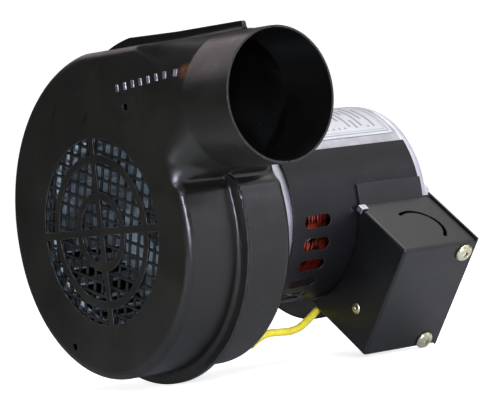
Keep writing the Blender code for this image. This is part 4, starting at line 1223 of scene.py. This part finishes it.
def knockout_slit(first, last):
    """Curved slit with round ends around the knockout in the box's upper wall."""
    low_r, high_r = KNOCKOUT_R
    middle, half = (low_r + high_r) / 2, (high_r - low_r) / 2
    outline = [(high_r, turn, 0.0) for turn in breaks([first, last], 4.0)]
    outline += [(middle + half * cos(radians(t)), last, half * sin(radians(t))) for t in range(30, 151, 30)]
    outline += [(low_r, turn, 0.0) for turn in breaks([last, first], 4.0)]
    outline += [(middle - half * cos(radians(t)), first, -half * sin(radians(t))) for t in range(30, 151, 30)]
    rings = []
    for v in (BOX_V[1] - 4, BOX_V[1] + 4):
        ring = []
        for radius, turn, side in outline:
            turn = radians(turn)
            x = KNOCKOUT[0] + radius * cos(turn) - side * sin(turn)
            ring.append(box_point(x, KNOCKOUT[1] + radius * sin(turn) + side * cos(turn), v))
        rings.append(ring)
    return loft("slit", rings)


def carry_band(base):
    """Crescent that carries the end wall on under the motor, and the band along its outer edge."""
    far_x = BOX_X[1]
    low, high = BAND_DEG
    sink = Matrix.Translation((0, 0, BOX_Z - SHAFT_Z))
    outline = [sink @ around(BAND_R + SHEET / 2, turn, 0.0) for turn in breaks([low - 4.5, high], 2.0)]
    outline += [around(SADDLE_R + SHEET / 2, turn, 0.0) for turn in breaks([high + 1.0, low - 8.0], 2.0)]
    web = loft("web", [[spot + Vector((x, 0, 0)) for spot in outline] for x in (far_x - SHEET, far_x)])
    band = bent_sheet("band", (BAND_R, BAND_R + SHEET), breaks(BAND_DEG, 2.0), [BAND_X, far_x])
    band.data.transform(sink)
    return combine(base, [web, band], "UNION")


def make_box(enamel_finish, yellow_zinc, zinc):
    near_x, far_x = BOX_X
    low_v, high_v = BOX_V
    out = box_axes()[1][1]
    cover = boxed((near_x, 30, low_v), (far_x + 20, BOX_OUT, high_v), BOX_BEND)
    low, high = (near_x + SHEET, 20, low_v + SHEET), (far_x + 30, BOX_OUT - SHEET, high_v - SHEET)
    combine(cover, boxed(low, high, BOX_BEND - SHEET + FIT))
    combine(cover, boxed((far_x - SHEET - FIT, 0, -99), (far_x + 40, 120, 99)))
    combine(cover, rod((100, 0, SHAFT_Z), (240, 0, SHAFT_Z), SADDLE_R + SHEET + FIT, 192))
    combine(cover, [knockout_slit(-116.0, -37.0), knockout_slit(-29.0, 48.0)])
    combine(cover, [rod(box_point(x, 85, v), box_point(x, 95, v), 2.5) for x, v in COVER_SCREWS.values()])
    u, v = SIDE_SCREW
    combine(cover, rod(box_point(near_x - 3, u, v), box_point(near_x + 1.4, u, v), 2.0))
    cover.name = "folded_cover"
    show(cover, enamel_finish, ["box_cover"])

    lengths = [near_x + SHEET + FIT, ends("motor_wrap")[1], far_x]
    base = bent_sheet("saddle_and_wall", (SADDLE_R, SADDLE_R + SHEET), breaks(SADDLE_DEG, 2.0), lengths,
                      lambda angle, x: x < lengths[1] or SADDLE_DEG[1] < angle < SADDLE_DEG[2])
    wall = boxed((far_x - SHEET, 30, low_v), (far_x, BOX_OUT, high_v + 1.4), 0.0)
    saddle_bore = [rod((100, 0, SHAFT_Z), (240, 0, SHAFT_Z), SADDLE_R + SHEET / 2, 192) for _ in range(2)]
    combine(base, combine(wall, saddle_bore[0]), "UNION")
    carry_band(base)
    for x, v in COVER_SCREWS.values():
        low = (x - 6, TAB_OUT, max(v - 5.3, low_v + SHEET + FIT))
        combine(base, boxed(low, (far_x - SHEET / 2, TAB_OUT + SHEET, v + 5.3)), "UNION")
        combine(base, rod(box_point(x, 84, v), box_point(x, 90.1, v), 2.4))
    tab_x = near_x + SHEET + FIT
    u, v = SIDE_SCREW
    tab = boxed((tab_x, 50, v - 6), (tab_x + SHEET, 79, v + 6))
    combine(base, combine(tab, saddle_bore[1]), "UNION")
    combine(base, rod(box_point(tab_x - 1, u, v), box_point(tab_x + 5, u, v), 1.9))
    combine(base, lead_hole())
    show(base, enamel_finish, ["box_base"])

    for label, (x, v) in COVER_SCREWS.items():
        start = box_point(x, SCREW_TIP, v)
        screw = pan_head("pan_screw_" + label, start, out, BOX_OUT + FIT - SCREW_TIP, 5.7)
        show(screw, yellow_zinc, ["cover_screw_" + label])
    start = box_point(near_x + 7, u, SIDE_SCREW[1])
    show(pan_head("pan_screw_side", start, (-1, 0, 0), 7.3, 3.3, 1.5), yellow_zinc, ["side_screw"])

    clip_x, (low_u, high_u) = near_x - FIT, CLIP_U
    clip = boxed((clip_x - SHEET, low_u, high_v + FIT), (clip_x + 4.0, high_u, high_v + 1.4), 0.3)
    rise = boxed((clip_x - SHEET, low_u, high_v - 2.4), (clip_x, high_u, high_v + 1.4), 0.3)
    clip.name = "spring_clip"
    show(combine(clip, rise, "UNION"), zinc, ["box_clip"])


# ---------------------------------------------------------------- leads

def curve_through(points, steps=8):
    """Smooth path through the points."""
    knots = [Vector(p) for p in points]
    knots = [knots[0] * 2 - knots[1]] + knots + [knots[-1] * 2 - knots[-2]]
    path = []
    for a, b, c, d in zip(knots, knots[1:], knots[2:], knots[3:]):
        for k in range(steps):
            t = k / steps
            path.append(0.5 * ((2 * b) + (c - a) * t + (2 * a - 5 * b + 4 * c - d) * t * t
                               + (3 * b - a - 3 * c + d) * t ** 3))
    return path + [knots[-2]]


def make_leads(yellow, black, white, rubber, copper, zinc):
    out = box_axes()[1][1]
    grommet = soften([(0, 4.2), (0, 6.2), (7.4, 6.2), (7.4, 8.6), (9.2, 8.6), (9.2, 4.2)], 0.8)
    show(turned("rubber_grommet", box_point(LEAD_X, 48.6, 0), out, grommet, 48), rubber, ["lead_grommet"])
    for name, side, finish in (("lead_black", -1.0, black), ("lead_white", 1.0, white)):
        path = [box_point(LEAD_X, 48.0, side * 1.9), box_point(LEAD_X, 60, side * 1.9)]
        path += [box_point(LEAD_X - 2, 74, side * 3), box_point(LEAD_X - 12, 80, side * 10)]
        path += [box_point(LEAD_X - 26, 78, side * 16)]
        show(sweep("supply_" + name, curve_through(path), LEAD_R, 16), finish, [name])
    y, z = GROUND_HOLE
    path = [(168.0, 2.0, -60.3), (160.0, -1.8, -61.2), (153.0, -5.2, -62.6), (148.0, -7.5, -64.1)]
    path += [(141.0, -11.7, -65.9), (132.0, -15.5, -69.0), (124.0, -18.0, -71.5), (115.0, -20.1, -72.6)]
    path += [(106.0, -21.7, -72.0), (96.0, -22.6, -71.6), (88.0, -23.8, -73.2), (80.4, -24.5, -76.6)]
    lead = sweep("bonding_lead", curve_through(path, 5), GROUND_LEAD_R, 20)
    show(lead, yellow, ["ground_lead"])
    ring = soften([(0, 2.4), (0, 4.6), (0.8, 4.6), (0.8, 2.4)], 0.2)
    terminal = turned("ring_terminal", (REAR_X + 0.3, y, z), (1, 0, 0), ring, 48)
    show(terminal, copper, ["ground_terminal"])
    start = (REAR_X + 1.4 - 8.4, y, z)
    show(pan_head("bonding_screw", start, (1, 0, 0), 8.4, 4.2), zinc, ["ground_screw"])


# ---------------------------------------------------------------- stage, light and camera

FLOOR_R = 6.0
FLOOR_CURVE = 2.5
FLOOR_SIDE = (1.0, -0.6, 0.0)
FLOOR_LIFT = 0.75
SOFT_BOXES = (
    # name, place, aimed at, width, height, watts, colour
    ("key_right", (1.5, -1.6, 0.35), (0.0, 0.0, 0.0), 1.0, 1.6, 7.5, (0.88, 0.86, 1.0)),
    ("overhead", (0.5, -0.2, 1.6), (0.05, 0.0, 0.0), 1.6, 1.2, 18.0, (0.97, 0.97, 1.0)),
    ("near_camera", (-0.8, -1.5, 0.3), (0.0, 0.0, 0.0), 0.14, 0.75, 32.0, (0.78, 0.82, 1.0)),
    ("over_front", (-0.5, -1.05, 1.35), (0.0, -0.05, 0.0), 0.3, 0.3, 7.0, (0.82, 0.86, 1.0)),
    ("into_inlet", (-0.25, -0.1, -0.08), (0.02, 0.0, 0.04), 0.06, 0.06, 3.0, (0.80, 0.90, 1.0)),
    ("back_top", (-0.2, 1.4, 1.15), (0.0, 0.0, 0.05), 2.2, 0.5, 4.5, (1.0, 0.86, 0.90)),
)
WORLD_LIGHT = (0.09, 0.85)
WORLD_SIDE = (0.64, -0.74, 0.2)
CAMERA_AZ = -39.1
CAMERA_EL = 0.98
CAMERA_ROLL = 6.64
CAMERA_FAR = 1687.3
CAMERA_SHIFT = (81.06, 15.9)
CAMERA_LENS = 218.8


def make_stage():
    """Pale round floor that curves up far away, so that no edge or horizon shows."""
    profile = [(0.0, 0.0), (FLOOR_R / 2, 0.0), (FLOOR_R, 0.0)]
    for turn in range(6, 91, 6):
        turn = radians(turn)
        profile.append((FLOOR_R + FLOOR_CURVE * sin(turn), FLOOR_CURVE * (1 - cos(turn))))
    sides = 96
    verts, faces = [(0.0, 0.0, 0.0)], []
    for far, rise in profile[1:]:
        verts += [(far * cos(2 * pi * k / sides), far * sin(2 * pi * k / sides), rise) for k in range(sides)]
    for k in range(sides):
        m = (k + 1) % sides
        faces.append((0, 1 + k, 1 + m))
        for row in range(len(profile) - 2):
            a = 1 + row * sides
            faces.append((a + k, a + sides + k, a + sides + m, a + m))
    mesh = bpy.data.meshes.new("floor")
    mesh.from_pydata(verts, [], faces)
    mesh.shade_smooth()
    floor = bpy.data.objects.new("floor", mesh)
    scene.collection.objects.link(floor)
    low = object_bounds()[0][2]
    floor.location = (0.08, 0.0, low - 0.0004)
    finish = Finish("pale_floor", 0.6)
    seen = finish.add("LightPath").outputs["Is Camera Ray"]
    grain = finish.ramp(finish.noise(60.0, 3.0), 0.3, 0.7)
    pale = finish.mix(grain, (0.86, 0.86, 0.87), (0.84, 0.84, 0.855))
    place = finish.add("NewGeometry").outputs["Position"]
    side = finish.add("VectorMath", {0: place, 1: FLOOR_SIDE}, operation="DOT_PRODUCT").outputs["Value"]
    # Only bounced light sees these tones: dim by the inlet, bright by the motor.
    bounced = finish.mix(finish.ramp(side, -0.25, 0.35), (0.17, 0.17, 0.165), (0.84, 0.84, 0.86))
    finish.paint(Base_Color=finish.mix(seen, bounced, pale), Specular_IOR_Level=0.1)
    finish.paint(Emission_Color=(1.0, 1.0, 1.0, 1.0), Emission_Strength=finish.times(seen, FLOOR_LIFT))
    mesh.materials.append(finish.made)


def make_lights():
    for name, place, target, width, height, watts, colour in SOFT_BOXES:
        light = bpy.data.lights.new(name, "AREA")
        light.shape = "RECTANGLE"
        light.size, light.size_y = width, height
        light.energy = watts
        light.color = colour
        holder = bpy.data.objects.new(name, light)
        holder.location = place
        holder.visible_glossy = name != "into_inlet"
        holder.rotation_euler = (Vector(target) - Vector(place)).to_track_quat("-Z", "Y").to_euler()
        scene.collection.objects.link(holder)


def make_world():
    """White to the camera; to everything else bright on one side and dim on the other."""
    world = bpy.data.worlds.new("studio")
    scene.world = world
    world.use_nodes = True
    tree = world.node_tree
    look = add_node(tree, "TexCoord").outputs["Generated"]
    side = add_node(tree, "VectorMath", {0: look, 1: WORLD_SIDE}, operation="DOT_PRODUCT").outputs["Value"]
    low, high = WORLD_LIGHT
    inputs = {"Value": side, "From Min": -0.2, "From Max": 0.9, "To Min": low, "To Max": high}
    lit = add_node(tree, "MapRange", inputs, interpolation_type="SMOOTHSTEP").outputs[0]
    seen = add_node(tree, "LightPath").outputs["Is Camera Ray"]
    strength = add_node(tree, "MapRange", {"Value": seen, "To Min": lit, "To Max": 1.0}).outputs[0]
    fill(tree, tree.nodes["Background"], {"Strength": strength, "Color": (1.0, 1.0, 1.0, 1.0)})


def make_camera():
    az, el, roll = radians(CAMERA_AZ), radians(CAMERA_EL), radians(CAMERA_ROLL)
    back = Vector((sin(az) * cos(el), -cos(az) * cos(el), sin(el)))
    level = (-back).cross(Vector((0, 0, 1))).normalized()
    upright = level.cross(-back)
    right = level * cos(roll) - upright * sin(roll)
    up = level * sin(roll) + upright * cos(roll)
    data = bpy.data.cameras.new("camera")
    data.lens = CAMERA_LENS
    data.sensor_width = 36.0
    data.clip_end = 100.0
    camera = bpy.data.objects.new("camera", data)
    place = (back * CAMERA_FAR + right * CAMERA_SHIFT[0] + up * CAMERA_SHIFT[1]) * MM
    camera.matrix_world = Matrix.Translation(place) @ Matrix((right, up, back)).transposed().to_4x4()
    scene.collection.objects.link(camera)
    scene.camera = camera
    scene.view_settings.view_transform = "Standard"


# ---------------------------------------------------------------- the whole fan

housing_black = housing_enamel().made
wrap_black = enamel("wrap_enamel", (0.0030, 0.0029, 0.0036), 0.38, 60.0, level=0.30).made
box_black = enamel("box_enamel", (0.0018, 0.0018, 0.0019), 0.38, 40.0).made
mesh_black = enamel("mesh_enamel", (0.004, 0.004, 0.0035), 0.5, 20.0, level=0.15).made
zinc_sheet = metal("rolled_zinc", (0.50, 0.49, 0.53), 0.40, 0.5, (1, 6, 6), 0.006).made
zinc_plate = metal("zinc_plate", (0.64, 0.64, 0.68), 0.28, 0.4, depth=0.006).made
yellow_zinc = metal("yellow_zinc", (0.70, 0.66, 0.47), 0.26, 0.6, depth=0.008, tint=0.65).made
alloy = metal("cast_alloy", (0.66, 0.66, 0.70), 0.55, 0.9, depth=0.05, metallic=0.8).made
steel = metal("ground_steel", (0.50, 0.50, 0.52), 0.22, 0.4, (9, 1, 1), 0.006).made
bronze = metal("sintered_bronze", (0.50, 0.33, 0.15), 0.42, 0.35, depth=0.03, tint=0.55).made
copper = metal("tinned_copper", (0.72, 0.48, 0.34), 0.30, 0.5).made
mark_metal = metal("worn_marks", (0.55, 0.52, 0.62), 0.35, 0.8, depth=0.03, tint=0.5).made
spangle = spangled_zinc("galvanised_sheet", (0.42, 0.48, 0.53), 0.34).made
core_stack = laminations().made
red_wire = magnet_wire().made
cord = plastic("lacing_cord", (0.78, 0.76, 0.72), 0.6, 0.5, 0.05).made
rubber = plastic("grommet_rubber", (0.02, 0.02, 0.02), 0.6).made
black_pvc = plastic("black_insulation", (0.018, 0.018, 0.018), 0.4, 1.2).made
white_pvc = plastic("white_insulation", (0.78, 0.78, 0.75), 0.4, 1.2).made
yellow_pvc = plastic("yellow_insulation", (1.0, 0.84, 0.06), 0.32, 1.5, 0.03).made
film = label_film().made

make_housing(housing_black, mark_metal)
make_screen(mesh_black)
make_wheel(spangle, steel)
make_shaft_and_rotor(steel, core_stack, alloy, bronze)
make_shields(alloy)
make_bolts(zinc_plate)
make_shell_and_wrap(zinc_sheet, wrap_black)
make_stator(core_stack, red_wire, cord)
make_label(film)
make_box(box_black, yellow_zinc, zinc_plate)
make_leads(yellow_pvc, black_pvc, white_pvc, rubber, copper, zinc_plate)

make_stage()
make_lights()
make_world()
make_camera()
